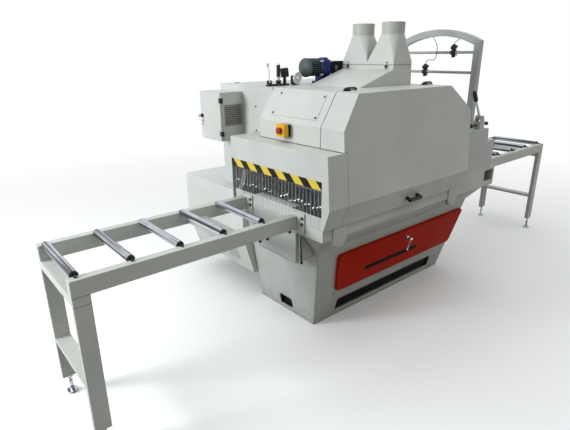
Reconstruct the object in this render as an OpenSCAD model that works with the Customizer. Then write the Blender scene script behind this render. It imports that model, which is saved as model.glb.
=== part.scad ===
// Multi rip saw: floor machine with roller tables, top arbor, feed unit and dust hood.
// +X is the feed direction, -Y the operator's door side, +Z up; the floor is z = 0.

/* [Base] */
// Length of the base on the floor
base_len = 1432; // [1300:1:1600]
// Width of the base on the floor
base_wid = 560; // [500:1:620]
// Height at which the base widens into its collar
base_h = 600; // [560:1:640]
// How far each end of the base leans out over that height
end_flare = 108; // [60:1:130]
// How far the door side of the base leans out over that height
side_flare = 141; // [100:1:160]
// Sheet thickness of the base
base_wall = 8; // [6:1:12]

/* [Bed] */
// Height of the bed's underside
bed_bottom = 755; // [735:1:765]
// Height of the working table
bed_top = 894; // [880:1:910]
// Infeed face of the bed
bed_x0 = -968; // [-985:1:-950]
// Outfeed face of the bed
bed_x1 = 864; // [840:1:890]
// Door side face of the bed
bed_y0 = -600; // [-606:1:-590]
// Far side face of the bed
bed_y1 = 206; // [202:1:210]
// Wall of the bed casting
bed_wall = 18; // [12:1:24]

/* [Covers] */
// Thickness of the cover sheets
skin = 4; // [3:0.5:6]
// Height of the hood's flat top
hood_top = 1520; // [1500:1:1540]
// Front wall of the hood
hood_x0 = -865; // [-880:1:-850]
// Rear wall of the hood
hood_x1 = 350; // [335:1:353]
// Height where the front wall turns into the slope
brow_z = 1343; // [1310:1:1370]
// Height where the rear slope turns into the rear wall
rear_brow_z = 1360; // [1320:1:1400]
// Top end of the front slope
slope_x = -752; // [-770:1:-735]
// Top end of the rear slope
rear_slope_x = 100; // [60:1:140]
// Seam between the fixed hood and the side door
seam_y = -465; // [-475:1:-455]
// Door side line at the hood's top
side_top_y = -620; // [-630:1:-615]
// Door side line at the bend above the skirt
side_bend_y = -661; // [-668:1:-652]
// Height of that bend
skirt_z = 953; // [940:1:965]
// Lower edge of the skirt
skirt_low_z = 828; // [815:1:840]
// Door side line at the skirt's lower edge
skirt_low_y = -616; // [-622:1:-610]
// Seam between canopy and door
canopy_seam_x = -842; // [-855:1:-835]

/* [Infeed canopy] */
// Front face of the canopy
canopy_x0 = -985; // [-995:1:-983]
// Height of the canopy's top
canopy_top = 1233; // [1215:1:1245]
// Height of the mouth's upper edge
mouth_z = 1051; // [1040:1:1070]
// Door side edge of the mouth
mouth_y0 = -603; // [-606:1:-600]
// Pitch of the curtain strips
strip_pitch = 30; // [24:1:40]
// Lower end of the curtain strips
strip_low_z = 829; // [820:1:850]

/* [Roller tables] */
// Width over the rails
table_wid = 524; // [480:1:560]
// Middle line of the tables
table_y = -142; // [-160:1:-120]
// Height of the rails' top
rail_top = 864; // [850:1:868]
// Height of a rail
rail_h = 77; // [60:1:90]
// Width of a rail
rail_w = 45; // [40:1:60]
// Free end of the infeed table
infeed_x = -2181; // [-2300:1:-2100]
// Free end of the outfeed table
outfeed_x = 2245; // [2200:1:2350]
// Distance between rollers of the infeed table
infeed_pitch = 240; // [230:1:246]
// Distance between rollers of the outfeed table
outfeed_pitch = 265; // [250:1:275]
// Diameter of the table rollers
roller_d = 40; // [36:1:44]
// Diameter of the roller axles
axle_d = 12; // [10:1:16]
// Width of a leg along the feed
leg_l = 74; // [60:1:90]
// Height of the leg's lower end above the floor
leg_low = 106; // [80:1:130]

/* [Saw unit] */
// Diameter of the saw blades
blade_d = 350; // [300:1:352]
// Plate thickness of the blades
blade_t = 4; // [3:0.1:5]
// Distance between the blades
blade_pitch = 70; // [50:1:72]
// Diameter of the arbor
arbor_d = 70; // [60:1:74]
// Position of the arbor along the feed
arbor_x = -230; // [-240:1:-220]
// How far the blades dip under the table
blade_dip = 5; // [2:1:8]
// Diameter of the arbor's pulley
arbor_pulley_d = 140; // [120:1:160]
// Diameter of the motor's pulley
motor_pulley_d = 180; // [160:1:200]
// Diameter of the feed rollers
feed_d = 110; // [100:1:112]
// Distance of the feed rollers from the arbor
feed_reach = 245; // [242:1:255]
// Height of stock that the upper rollers are set to
stock_h = 40; // [30:1:60]
// Lift of the pressure beam

/* [Dust hood] */
// Diameter of a dust port
port_d = 140; // [120:1:150]
// Height of the ports' mouth
port_top = 1892; // [1870:1:1910]
// Length of a port
port_len = 69; // [50:1:80]

/* [Hidden] */
$fn = 48;

// Clearances: between moving bodies, radially in a running fit, between fixed sheets, overrun of cuts
move_gap = 1;
run_fit = 0.06;
seam_gap = 2;
over = 3;

// Colours
grey = [0.82, 0.83, 0.81];
shade = [0.68, 0.69, 0.66];
dark = [0.12, 0.12, 0.13];
chrome = [0.78, 0.79, 0.82];
steel = [0.55, 0.56, 0.58];
blue = [0.12, 0.2, 0.5];
yellow = [0.95, 0.72, 0.08];
red = [0.75, 0.1, 0.07];
clear = [0.85, 0.88, 0.9];

// Basic shapes given by their limits along the axes
module block(x0, x1, y0, y1, z0, z1) translate([x0, y0, z0]) cube([x1 - x0, y1 - y0, z1 - z0]);
module rod_x(y, z, x0, x1, r) translate([x0, y, z]) rotate([0, 90, 0]) cylinder(r = r, h = x1 - x0);
module rod_y(x, z, y0, y1, r) translate([x, y1, z]) rotate([90, 0, 0]) cylinder(r = r, h = y1 - y0);
module rod_z(x, y, z0, z1, r) translate([x, y, z0]) cylinder(r = r, h = z1 - z0);
// A drawing in X and Z carried from y0 to y1
module along_y(y0, y1) translate([0, y1, 0]) rotate([90, 0, 0]) linear_extrude(y1 - y0) children();
// A drawing in Y and Z carried from x0 to x1
module along_x(x0, x1) translate([x0, 0, 0]) rotate([90, 0, 90]) linear_extrude(x1 - x0) children();

// A sheet of thickness t on the right hand of an open line of points
function unit(v) = v / norm(v);
function right_of(v) = [v[1], -v[0]];
function run_in(p, i) = i > 0 ? unit(p[i] - p[i - 1]) : unit(p[1] - p[0]);
function run_out(p, i) = i < len(p) - 1 ? unit(p[i + 1] - p[i]) : unit(p[i] - p[i - 1]);
function mitre(p, i, t) =
  let (a = right_of(run_in(p, i)), n = unit(a + right_of(run_out(p, i)))) p[i] + n * t / (n * a);
function sheet_line(p, t) =
  concat(p, [for (i = [len(p) - 1 : -1 : 0]) mitre(p, i, t)]);

// Base and its collar
base_x = base_len / 2;
base_y = base_wid / 2;
lean_x = base_x + end_flare;
lean_y = -base_y - side_flare;
side_share = side_flare / base_h;
collar_inset = [28, 24, 30];
collar_x0 = bed_x0 + collar_inset[0];
collar_x1 = bed_x1 - collar_inset[1];
collar_y0 = bed_y0 + collar_inset[2];
tunnel_x0 = -530;
tunnel_x1 = 566;
tunnel_z0 = 42;
tunnel_z1 = 137;
tunnel_cut = 14;
vent_y0 = -78;
vent_y1 = 50;
vent_z0 = 31;
vent_z1 = 111;
vent_cut = 12;
panel_x = 76;
panel_top_half = 713;
panel_low_half = 667;
panel_z0 = 240;
panel_z1 = 528;
panel_round = 26;
panel_t = 22;
panel_gap = 0.4;
hatch_rim = 12;
slot_x0 = -343;
slot_x1 = 249;
slot_z = 340;
slot_h = 24;
side_lean = atan(side_share);

module base_solid(t) {
  end_line = [[-base_x + t, t], [base_x - t, t], [lean_x - t, base_h], [collar_x1 - t, bed_bottom - t],
    [collar_x0 + t, bed_bottom - t], [-lean_x + t, base_h]];
  side_line = [[-base_y + t, t], [base_y - t, t], [base_y - t, bed_bottom - t],
    [collar_y0 + t, bed_bottom - t], [lean_y + t, base_h]];
  intersection() {
    along_y(collar_y0, base_y) polygon(end_line);
    along_x(collar_x0, collar_x1) polygon(side_line);
  }
}

// Places its children on the leaning door side of the base: x along the feed, z up the slope
module on_side() translate([0, -base_y, 0]) rotate([side_lean, 0, 0]) children();
function up_slope(z) = z / cos(side_lean);

module panel_outline(rim) {
  r = panel_round;
  for_z0 = up_slope(panel_z0) + rim;
  for_z1 = up_slope(panel_z1) - rim;
  hull() {
    for (s = [-1, 1]) {
      translate([panel_x + s * (panel_low_half - r - rim), for_z0 + r]) circle(r, $fn = 32);
      translate([panel_x + s * (panel_top_half - r - rim), for_z1 - r]) circle(r, $fn = 32);
    }
  }
}

module base_frame() color(grey) {
  front_box();
  base_shell();
  flap_pins();
}

module base_shell() difference() {
  base_solid(0);
  base_solid(base_wall);
  block(collar_x0 + bed_wall, collar_x1 - bed_wall, collar_y0 + bed_wall, bed_y1 - bed_wall,
    bed_bottom - base_wall - over, bed_bottom + over);
  along_y(collar_y0, -base_y + side_flare / 2)
    polygon([[tunnel_x0, tunnel_z0], [tunnel_x1, tunnel_z0], [tunnel_x1, tunnel_z1 - tunnel_cut],
      [tunnel_x1 - tunnel_cut, tunnel_z1], [tunnel_x0 + tunnel_cut, tunnel_z1],
      [tunnel_x0, tunnel_z1 - tunnel_cut]]);
  along_x(collar_x0, -base_x + end_flare / 2)
    polygon([[vent_y0, vent_z0], [vent_y1, vent_z0], [vent_y1, vent_z1 - vent_cut],
      [vent_y1 - vent_cut, vent_z1], [vent_y0 + vent_cut, vent_z1], [vent_y0, vent_z1 - vent_cut]]);
  on_side() block(panel_x - panel_low_half + hatch_rim, panel_x + panel_low_half - hatch_rim,
    -side_flare, side_flare / 2, up_slope(panel_z0) + hatch_rim, up_slope(panel_z1) - hatch_rim);
}

// Hinges along the flap's lower edge: pins held by lugs on the base
flap_hinge_xs = [-420, 572];
flap_knuckle = 60;
flap_lug = 12;
flap_pin_r = 4;
flap_knuckle_r = 7;
flap_y = -flap_knuckle_r - panel_gap;
flap_z = up_slope(panel_z0) - flap_knuckle_r - move_gap;

module flap_pins() on_side() for (x = flap_hinge_xs) {
  half = flap_knuckle / 2 + move_gap / 2;
  rod_x(flap_y, flap_z, x - half - flap_lug, x + half + flap_lug, flap_pin_r);
  for (x0 = [x - half - flap_lug, x + half]) {
    rod_x(flap_y, flap_z, x0, x0 + flap_lug, flap_knuckle_r);
    block(x0, x0 + flap_lug, flap_y, base_wall / 2, flap_z - flap_knuckle_r, flap_z + flap_pin_r);
  }
}

// Flap over the hatch in the base, hinged along its lower edge
module red_panel() color(red) on_side() difference() {
  union() {
    translate([0, -panel_gap, 0]) rotate([90, 0, 0]) linear_extrude(panel_t) panel_outline(0);
    for (x = flap_hinge_xs) {
      rod_x(flap_y, flap_z, x - flap_knuckle / 2, x + flap_knuckle / 2, flap_knuckle_r);
      block(x - flap_knuckle / 2, x + flap_knuckle / 2, flap_y - flap_knuckle_r, flap_y, flap_z,
        flap_z + flap_knuckle_r + 2 * over);
    }
  }
  for (x = flap_hinge_xs) {
    rod_x(flap_y, flap_z, x - flap_knuckle, x + flap_knuckle, flap_pin_r + run_fit);
  }
  translate([0, over, 0]) rotate([90, 0, 0])
    linear_extrude(panel_t + panel_gap + over - skin) panel_outline(2 * skin);
  block(slot_x0, slot_x1, -panel_t - panel_gap - over, over, up_slope(slot_z) - slot_h / 2,
    up_slope(slot_z) + slot_h / 2);
  lever_hole();
}

lever_x = 26;
lever_z = 500;
lever_pin_r = 8;
lever_pin_len = 66;
lever_arm_len = 92;
lever_arm_r = 6;
lever_ball_r = 7.5;
lever_tail = 16;
latch_len = 52;
latch_w = 20;
latch_t = 6;

module lever_hole()
  rod_y(lever_x, up_slope(lever_z), -panel_t - panel_gap - over, over, lever_pin_r + run_fit);

// Turning handle of the flap: pin through the flap, arm outside, latch tongue inside
module panel_lever() color(chrome) on_side() {
  z = up_slope(lever_z);
  out_y = -panel_t - panel_gap - lever_pin_len;
  arm_y = out_y + lever_pin_r;
  rod_y(lever_x, z, out_y, base_wall + move_gap + latch_t, lever_pin_r);
  translate([lever_x, arm_y, z - lever_arm_len]) cylinder(r = lever_arm_r, h = lever_arm_len);
  translate([lever_x, arm_y, z - lever_arm_len]) sphere(lever_ball_r);
  block(lever_x - lever_tail, lever_x + latch_len, base_wall + move_gap, base_wall + move_gap + latch_t,
    z - latch_w / 2, z + latch_w / 2);
}

// Box under the infeed apron, with its stop rod
box_x0 = -960;
box_y0 = -377;
box_y1 = 80;
box_z0 = 560;
rod_r = 5;
rod_knob_r = 8;
rod_gap = 18;

module front_box() {
  difference() {
    block(box_x0, -lean_x + end_flare, box_y0, box_y1, box_z0, bed_bottom);
    base_solid(0);
    block(box_x0 + skin, 0, box_y0 + skin, box_y1 - skin, box_z0 + skin, bed_bottom - skin);
  }
  rod_z(box_x0 + 2 * rod_knob_r, box_y0 - rod_gap, box_z0 + rod_knob_r, bed_bottom, rod_r);
  translate([box_x0 + 2 * rod_knob_r, box_y0 - rod_gap, box_z0 + rod_knob_r]) sphere(rod_knob_r);
}

// Bed casting with round bosses on the door side
arbor_z = bed_top + blade_d / 2 - blade_dip;
work_y0 = -318;
work_y1 = 34;
lobe_r = 52;
lobe_t = 9;
lobe_front_x = -845;
lobe_rear_x = 285;
feed_slot = 8;
feed_axle_r = 16;
feed_proud = 1.5;
lower_z = bed_top + feed_proud - feed_d / 2;
feed_x = [arbor_x - feed_reach, arbor_x + feed_reach];
blade_slot_w = 14;
end_recess_x = 144;
end_recess_z = 84;

module bed_casting() color(shade) difference() {
  union() {
    block(bed_x0, bed_x1, bed_y0, bed_y1, bed_bottom, bed_top);
    for (x = [lobe_front_x, lobe_rear_x])
      rod_y(x, bed_bottom, bed_y0 - lobe_t, bed_y0 + bed_wall, lobe_r);
  }
  block(bed_x0 + bed_wall, bed_x1 - bed_wall, bed_y0 + bed_wall, bed_y1 - bed_wall,
    bed_bottom - lobe_r - over, bed_top - bed_wall);
  block(bed_x1 - end_recess_x, bed_x1 - bed_wall, bed_y0 - over, bed_y0 + bed_wall + over,
    bed_bottom + 2 * bed_wall, bed_bottom + 2 * bed_wall + end_recess_z);
  for (x = feed_x) {
    block(x - feed_d / 2 - feed_slot, x + feed_d / 2 + feed_slot, work_y0 - feed_slot, work_y1 + feed_slot,
      bed_top - bed_wall - over, bed_top + over);
  }
  for (i = [0 : blade_count - 1]) {
    block(arbor_x - blade_d / 4, arbor_x + blade_d / 4, blade_y(i) - blade_slot_w / 2,
      blade_y(i) + blade_slot_w / 2, bed_top - bed_wall - over, bed_top + over);
  }
  for (x = feed_x) rod_y(x, lower_z, bed_y0 - lobe_t - over, bed_y1 + over, feed_axle_r + run_fit);
}

// Roller with a stub shaft at both ends
module feed_roller(x, z, y0, y1) {
  rod_y(x, z, work_y0, work_y1, feed_d / 2);
  rod_y(x, z, y0, y1, feed_axle_r);
}

module lower_feed_roller(i) color(steel)
  feed_roller(feed_x[i], lower_z, bed_y0 + bed_wall / 2, bed_y1 - bed_wall / 4);
module lower_feed_roller_1() lower_feed_roller(0);
module lower_feed_roller_2() lower_feed_roller(1);

// Line of the door side, from the hood's top down to the skirt
lean = atan((side_top_y - side_bend_y) / (hood_top - skirt_z));
tuck = atan((skirt_low_y - side_bend_y) / (skirt_z - skirt_low_z));
function side_y(z) = side_top_y - (hood_top - z) * tan(lean);
function on_lean(p) = [p[0], (p[1] - hood_top) / cos(lean)];
function on_tuck(p) = [p[0], (p[1] - skirt_z) / cos(tuck)];

module side_sheet(points) translate([0, side_top_y, hood_top]) rotate([-lean, 0, 0])
  along_y(0, skin) polygon([for (p = points) on_lean(p)]);
module skirt_sheet(points) translate([0, side_bend_y, skirt_z]) rotate([tuck, 0, 0])
  along_y(0, skin) polygon([for (p = points) on_tuck(p)]);
// The door side's bent line from the skirt up, and everything on the machine's side of it, t inside
function skirt_y(z) = side_bend_y + (skirt_z - z) * tan(tuck);
side_path = [[skirt_y(skirt_low_z - 2 * over), skirt_low_z - 2 * over], [side_bend_y, skirt_z],
  [side_y(hood_top + 2 * over), hood_top + 2 * over]];

module inside_of_side(t) along_x(2 * infeed_x, 2 * outfeed_x)
  polygon(concat([for (i = [0 : len(side_path) - 1]) mitre(side_path, i, t)],
    [[0, hood_top + 2 * over], [0, skirt_low_z - 2 * over]]));

// Infeed canopy with the curtain's rod and the fingers' rod
canopy_y1 = bed_y1 + skin;
rod_inset = 10;
rod_rise = 4;
curtain_x = canopy_x0 + rod_inset;
curtain_z = mouth_z + rod_rise;
curtain_rod_r = 3;
finger_x = -905;
finger_z = 1015;
finger_rod_r = 12;

module infeed_canopy() color(grey) {
  post = [[mouth_y0, mouth_z], [side_y(mouth_z), mouth_z], [side_bend_y, skirt_z],
    [skirt_low_y, skirt_low_z], [mouth_y0 - skin, skirt_low_z], [mouth_y0, skirt_z]];
  along_x(canopy_x0, canopy_x0 + skin) {
    polygon(post);
    polygon([[side_y(mouth_z), mouth_z], [canopy_y1, mouth_z], [canopy_y1, canopy_top],
      [side_y(canopy_top), canopy_top]]);
  }
  block(canopy_x0, hood_x0 - seam_gap, side_y(canopy_top), canopy_y1, canopy_top - skin, canopy_top);
  block(canopy_x0, housing_x0 - seam_gap, housing_y0 + seam_gap, canopy_y1, canopy_top - skin,
    canopy_top);
  block(canopy_x0, housing_x0 - seam_gap, canopy_y1 - skin, canopy_y1, bed_bottom, canopy_top);
  side_sheet([[canopy_x0, canopy_top], [canopy_seam_x, canopy_top], [canopy_seam_x, skirt_z],
    [canopy_x0, skirt_z]]);
  skirt_sheet([[canopy_x0, skirt_z], [canopy_seam_x, skirt_z], [canopy_seam_x - 2 * skin, skirt_low_z],
    [canopy_x0, skirt_low_z]]);
  rod_y(curtain_x, curtain_z, side_y(curtain_z) + skin / 2, canopy_y1 - skin / 2, curtain_rod_r);
  rod_y(finger_x, finger_z, side_y(finger_z) + skin / 2, canopy_y1 - skin / 2, finger_rod_r);
}

// Curtain of clear strips on a sleeve around the rod; strips over the brackets are short
sleeve_r = 5;
strip_t = 2;
strip_gap = 2;
strip_short_z = bed_top - 2 * strip_t;
curtain_y0 = mouth_y0 + strip_gap;
curtain_y1 = canopy_y1 - skin - strip_gap;
strip_count = floor((curtain_y1 - curtain_y0) / strip_pitch);

function strip_y(i) = curtain_y0 + i * (curtain_y1 - curtain_y0) / strip_count;
function by_bracket(y0, y1) =
  len([for (b = bracket_y) if (y1 > b[0] - strip_gap && y0 < b[1] + strip_gap) 1]) > 0;

module strip_curtain() color(clear) difference() {
  union() {
    rod_y(curtain_x, curtain_z, curtain_y0, curtain_y1, sleeve_r);
    for (i = [0 : strip_count - 1]) {
      y0 = strip_y(i);
      y1 = strip_y(i + 1) - strip_gap;
      block(curtain_x - strip_t / 2, curtain_x + strip_t / 2, y0, y1,
        by_bracket(y0, y1) ? strip_short_z : strip_low_z, curtain_z);
    }
  }
  rod_y(curtain_x, curtain_z, curtain_y0 - over, curtain_y1 + over, curtain_rod_r + run_fit);
}

// Anti-kickback fingers on their rod
finger_len = 84;
finger_r = 22;
finger_t = 14;
finger_pitch = 25;
finger_tip = 8;
finger_back = 30;
finger_count = floor((work_y1 - work_y0) / finger_pitch);

module kickback_fingers() color(steel) difference() {
  union() {
    rod_y(finger_x, finger_z, work_y0, work_y0 + finger_count * finger_pitch, finger_r - finger_tip / 2);
    for (i = [0 : finger_count - 1]) {
      y = work_y0 + i * finger_pitch;
      along_y(y, y + finger_t) {
        translate([finger_x, finger_z]) circle(finger_r);
        polygon([[finger_x - finger_r, finger_z], [finger_x + finger_r, finger_z],
          [finger_x + finger_back, finger_z - finger_len],
          [finger_x + finger_back - finger_tip, finger_z - finger_len]]);
      }
    }
  }
  rod_y(finger_x, finger_z, work_y0 - over, work_y1 + over, finger_rod_r + run_fit);
}

// Fixed hood over the saw unit
top_cut = 20;
end_lap = 60;
tunnel_top = 1060;
hood_line = [[hood_x0, canopy_top + seam_gap], [hood_x0, brow_z], [slope_x, hood_top],
  [rear_slope_x, hood_top], [hood_x1, rear_brow_z]];

module hood_sheet(y0, y1, rear_z) along_y(y0, y1)
  polygon(sheet_line(concat(hood_line, [[hood_x1, rear_z]]), skin));

module front_hood() color(grey) {
  difference() {
    hood_sheet(seam_y + seam_gap, housing_y0, tunnel_top);
    block(hood_base_x0 + top_cut, hood_base_x1 - top_cut, hood_base_y0 + top_cut, hood_base_y1 - top_cut,
      hood_top - skin - over, hood_top + over);
  }
  along_y(housing_y0 - skin, housing_y0)
    polygon([[hood_x0, canopy_top + seam_gap], [hood_x0, brow_z], [slope_x, hood_top],
      [housing_x0 + end_lap, hood_top], [housing_x0 + end_lap, canopy_top + seam_gap]]);
}

// Cover plate on the front slope, with its screws
slope_angle = atan2(hood_top - brow_z, slope_x - hood_x0);
slope_len = norm([hood_top - brow_z, slope_x - hood_x0]);
cover_y0 = -412;
cover_y1 = -24;
cover_low_share = 0.17;
cover_high_share = 0.9;
cover_t = 2;
cover_screw_r = 5;
cover_screw_h = 3;
cover_rim = 14;

module access_cover() color(grey) translate([hood_x0, 0, brow_z]) rotate([0, -slope_angle, 0]) {
  u0 = slope_len * cover_low_share;
  u1 = slope_len * cover_high_share;
  block(u0, u1, cover_y0, cover_y1, 0, cover_t);
  for (u = [u0 + cover_rim, u1 - cover_rim]) {
    for (y = [cover_y0 + cover_rim, cover_y1 - cover_rim]) {
      translate([u, y, 0]) cylinder(r = cover_screw_r, h = cover_t + cover_screw_h);
    }
  }
}

// Side door: wraps over the front, the top and the rear, and hangs on two top hinges
hinge_rise = 8;
hinge_z = hood_top + hinge_rise;
hinge_len = 70;
hinge_xs = [-640, 80];
hinge_pin_r = 4;
knuckle_r = 7;
leaf_w = 30;
knuckle_share = 0.3;
mid_knuckle = hinge_len * (1 - 2 * knuckle_share) - 2 * move_gap;
skirt_slant = 26;

module door_shell() {
  door_x0 = canopy_seam_x + seam_gap;
  line = concat(hood_line, [[hood_x1, skirt_z]]);
  outline = concat(line, [[hood_x1 - skirt_slant, skirt_low_z], [door_x0 - 2 * skin, skirt_low_z],
    [door_x0, skirt_z], [door_x0, canopy_top + seam_gap]]);
  inner = concat([[hood_x0 + skin, skirt_low_z - over]],
    [for (i = [1 : len(hood_line) - 1]) mitre(line, i, skin)], [[hood_x1 - skin, skirt_low_z - over]]);
  difference() {
    intersection() {
      along_y(2 * side_bend_y, seam_y - seam_gap) polygon(outline);
      inside_of_side(0);
    }
    intersection() {
      along_y(2 * side_bend_y, seam_y) polygon(inner);
      inside_of_side(skin);
    }
    rotate_gap();
  }
}

module side_door() color(grey) {
  door_shell();
  for (x = hinge_xs) {
    difference() {
      union() {
        rod_x(seam_y, hinge_z, x - mid_knuckle / 2, x + mid_knuckle / 2, knuckle_r);
        block(x - mid_knuckle / 2, x + mid_knuckle / 2, seam_y - leaf_w, seam_y,
          hood_top - skin / 2, hood_top + skin);
      }
      rod_x(seam_y, hinge_z, x - hinge_len, x + hinge_len, hinge_pin_r + run_fit);
    }
  }
}
// Room around the hinge line so that the swinging edge stays clear
module rotate_gap() for (x = hinge_xs)
  block(x - hinge_len / 2, x + hinge_len / 2, seam_y - knuckle_r, seam_y, hood_top - skin - over,
    hood_top + over);

module door_hinges() color(dark) for (x = hinge_xs) {
  rod_x(seam_y, hinge_z, x - hinge_len / 2, x + hinge_len / 2, hinge_pin_r);
  for (s = [-1, 1]) {
    a = x + s * hinge_len / 2;
    b = a - s * hinge_len * knuckle_share;
    rod_x(seam_y, hinge_z, min(a, b), max(a, b), knuckle_r);
    block(min(a, b), max(a, b), seam_y + seam_gap, seam_y + leaf_w, hood_top, hood_top + skin);
    block(min(a, b), max(a, b), seam_y, seam_y + knuckle_r, hood_top + skin / 2, hinge_z);
  }
}

// Pull handle on the door's skirt
handle_x0 = -308;
handle_x1 = -189;
handle_w = 18;
handle_out = 42;
handle_drop = 58;

module door_handle() color(dark) translate([0, side_bend_y, skirt_z]) rotate([tuck, 0, 0]) {
  z = -handle_drop / cos(tuck);
  for (x = [handle_x0, handle_x1 - handle_w]) block(x, x + handle_w, -handle_out, 0, z - handle_w, z);
  block(handle_x0, handle_x1, -handle_out, -handle_out + handle_w, z - handle_w, z);
}

// Tall housing of the belt drive
housing_x0 = -764;
housing_x1 = 330;
housing_y0 = 60;
housing_y1 = 640;
housing_top = hood_top;
housing_low = 822;

module drive_housing() color(grey) {
  line = [[housing_y0, bed_top], [bed_y1 + 2 * seam_gap, bed_top],
    [bed_y1 + 2 * seam_gap, housing_low], [housing_y1, housing_low], [housing_y1, housing_top],
    [housing_y0, housing_top]];
  inner = [[housing_y0 + skin, 0], [housing_y1 - skin, 0], [housing_y1 - skin, housing_top - skin],
    [housing_y0 + skin, housing_top - skin]];
  difference() {
    along_x(housing_x0, housing_x1) polygon(line);
    along_x(housing_x0 + skin, housing_x1 - skin) polygon(inner);
    block(column_x0 - column_gap, column_x1 + column_gap, housing_y0 - over, housing_y0 + skin + over,
      0, housing_top - skin);
  }
}

// Low housing around the main motor, with vent slots in its front
motor_box_x0 = -870;
motor_box_low_x0 = -785;
motor_box_bend_z = 480;
motor_box_y0 = base_y;
motor_box_y1 = 1050;
motor_box_low = 200;
motor_box_top = housing_low;
louvre_count = 6;
louvre_h = 7;
louvre_pitch = 18;
louvre_w = 150;
louvre_y = [420, 640];
louvre_z = 262;

module motor_housing() color(grey) {
  line = [[motor_box_low_x0, motor_box_low], [housing_x1, motor_box_low], [housing_x1, motor_box_top],
    [motor_box_x0, motor_box_top], [motor_box_x0, motor_box_bend_z]];
  inner = [[motor_box_low_x0 + skin, motor_box_low + skin], [housing_x1 - skin, motor_box_low + skin],
    [housing_x1 - skin, motor_box_top - skin], [motor_box_x0 + skin, motor_box_top - skin],
    [motor_box_x0 + skin, motor_box_bend_z]];
  difference() {
    along_y(motor_box_y0, motor_box_y1) polygon(line);
    along_y(motor_box_y0 + skin, motor_box_y1 - skin) polygon(inner);
    block(arbor_x - motor_pulley_d / 2 - column_gap, arbor_x + motor_pulley_d / 2 + column_gap,
      pulley_y0 - column_gap, pulley_y1 + column_gap, motor_box_top - skin - over, motor_box_top + over);
    for (y = louvre_y) {
      for (i = [0 : louvre_count - 1]) {
        z = louvre_z + i * louvre_pitch;
        block(motor_box_x0 - over, motor_box_low_x0 + skin + over, y, y + louvre_w, z, z + louvre_h);
      }
    }
  }
}

// Electrical cabinet on the drive housing
cab_x0 = -923;
cab_y0 = 385;
cab_y1 = 630;
cab_z0 = 1167;
cab_z1 = 1480;
cab_door_t = 16;
cab_pin_x = cab_x0 - move_gap - cab_door_t / 2;
cab_pin_off = 6;
cab_pin_y = cab_y0 - cab_pin_off;
cab_pin_r = 4;
cab_knuckle_r = 6.5;
cab_knuckle_h = 14;
cab_hinge_in = 50;
cab_hinge_zs = [cab_z0 + cab_hinge_in, cab_z1 - cab_hinge_in];
cab_lug_h = 12;
cab_slot_x0 = -905;
cab_slot_x1 = -800;
cab_slot_count = 9;
cab_slot_z = 1275;
cab_slot_pitch = 14;
cab_slot_h = 5;
lock_y = 610;
lock_z = 1318;
lock_r = 8;
lock_head_r = 11;
cam_len = 14;
strike_t = 3;

module electrical_cabinet() color(grey) {
  difference() {
    block(cab_x0, housing_x0, cab_y0, cab_y1, cab_z0, cab_z1);
    block(cab_x0 - over, housing_x0 - skin, cab_y0 + skin, cab_y1 - skin, cab_z0 + skin, cab_z1 - skin);
    for (i = [0 : cab_slot_count - 1]) {
      z = cab_slot_z + i * cab_slot_pitch;
      block(cab_slot_x0, cab_slot_x1, cab_y0 - over, cab_y0 + skin + over, z, z + cab_slot_h);
    }
  }
  block(cab_x0, cab_x0 + strike_t, lock_y + lock_r + move_gap, cab_y1 - skin / 2, lock_z - cam_len,
    lock_z + cam_len);
  for (z = cab_hinge_zs) {
    for (s = [-1, 1]) {
      zc = z + s * (cab_knuckle_h + cab_lug_h + move_gap) / 2;
      rod_z(cab_pin_x, cab_pin_y, zc - cab_lug_h / 2, zc + cab_lug_h / 2, cab_knuckle_r);
      z0 = zc - cab_lug_h / 2;
      z1 = zc + cab_lug_h / 2;
      block(cab_pin_x, cab_x0 + skin, cab_pin_y - cab_pin_r, cab_y0 - move_gap / 2, z0, z1);
      block(cab_x0, cab_x0 + skin, cab_pin_y - cab_pin_r, cab_y0 + skin / 2, z0, z1);
    }
    rod_z(cab_pin_x, cab_pin_y, z - cab_knuckle_h, z + cab_knuckle_h, cab_pin_r);
  }
}

module cabinet_door() color(grey) difference() {
  union() {
    block(cab_x0 - move_gap - cab_door_t, cab_x0 - move_gap, cab_y0, cab_y1, cab_z0, cab_z1);
    for (z = cab_hinge_zs) {
      rod_z(cab_pin_x, cab_pin_y, z - cab_knuckle_h / 2, z + cab_knuckle_h / 2, cab_knuckle_r);
      block(cab_pin_x - cab_pin_r, cab_pin_x + cab_pin_r, cab_pin_y, cab_y0 + over, z - cab_knuckle_h / 2,
        z + cab_knuckle_h / 2);
    }
  }
  for (z = cab_hinge_zs) {
    rod_z(cab_pin_x, cab_pin_y, z - cab_knuckle_h, z + cab_knuckle_h, cab_pin_r + run_fit);
    for (s = [-1, 1]) {
      zc = z + s * (cab_knuckle_h + cab_lug_h + move_gap) / 2;
      rod_z(cab_pin_x, cab_pin_y, zc - cab_lug_h / 2 - move_gap / 4, zc + cab_lug_h / 2 + move_gap / 4,
        cab_knuckle_r + move_gap);
    }
  }
  rod_x(lock_y, lock_z, cab_x0 - 2 * cab_door_t, cab_x0 + over, lock_r + run_fit);
}

module cabinet_lock() color(chrome) {
  front = cab_x0 - move_gap - cab_door_t;
  rod_x(lock_y, lock_z, front - lock_r, cab_x0 + lock_r, lock_r);
  rod_x(lock_y, lock_z, front - lock_r, front - move_gap / 2, lock_head_r);
  block(cab_x0 + lock_r / 2, cab_x0 + lock_r, lock_y - lock_r / 2, lock_y + lock_r / 2,
    lock_z - cam_len, lock_z);
}

// Emergency stop on the hood's front wall
stop_x0 = -915;
stop_y0 = -225;
stop_y1 = -155;
stop_z0 = 1268;
stop_z1 = 1338;
stop_back = 18;
stop_ledge = 2;
stop_y = (stop_y0 + stop_y1) / 2;
stop_z = (stop_z0 + stop_z1) / 2;
stem_r = 9;
mushroom_r = 19;
mushroom_t = 14;
mushroom_share = 0.8;
stop_travel = 4;

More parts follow.
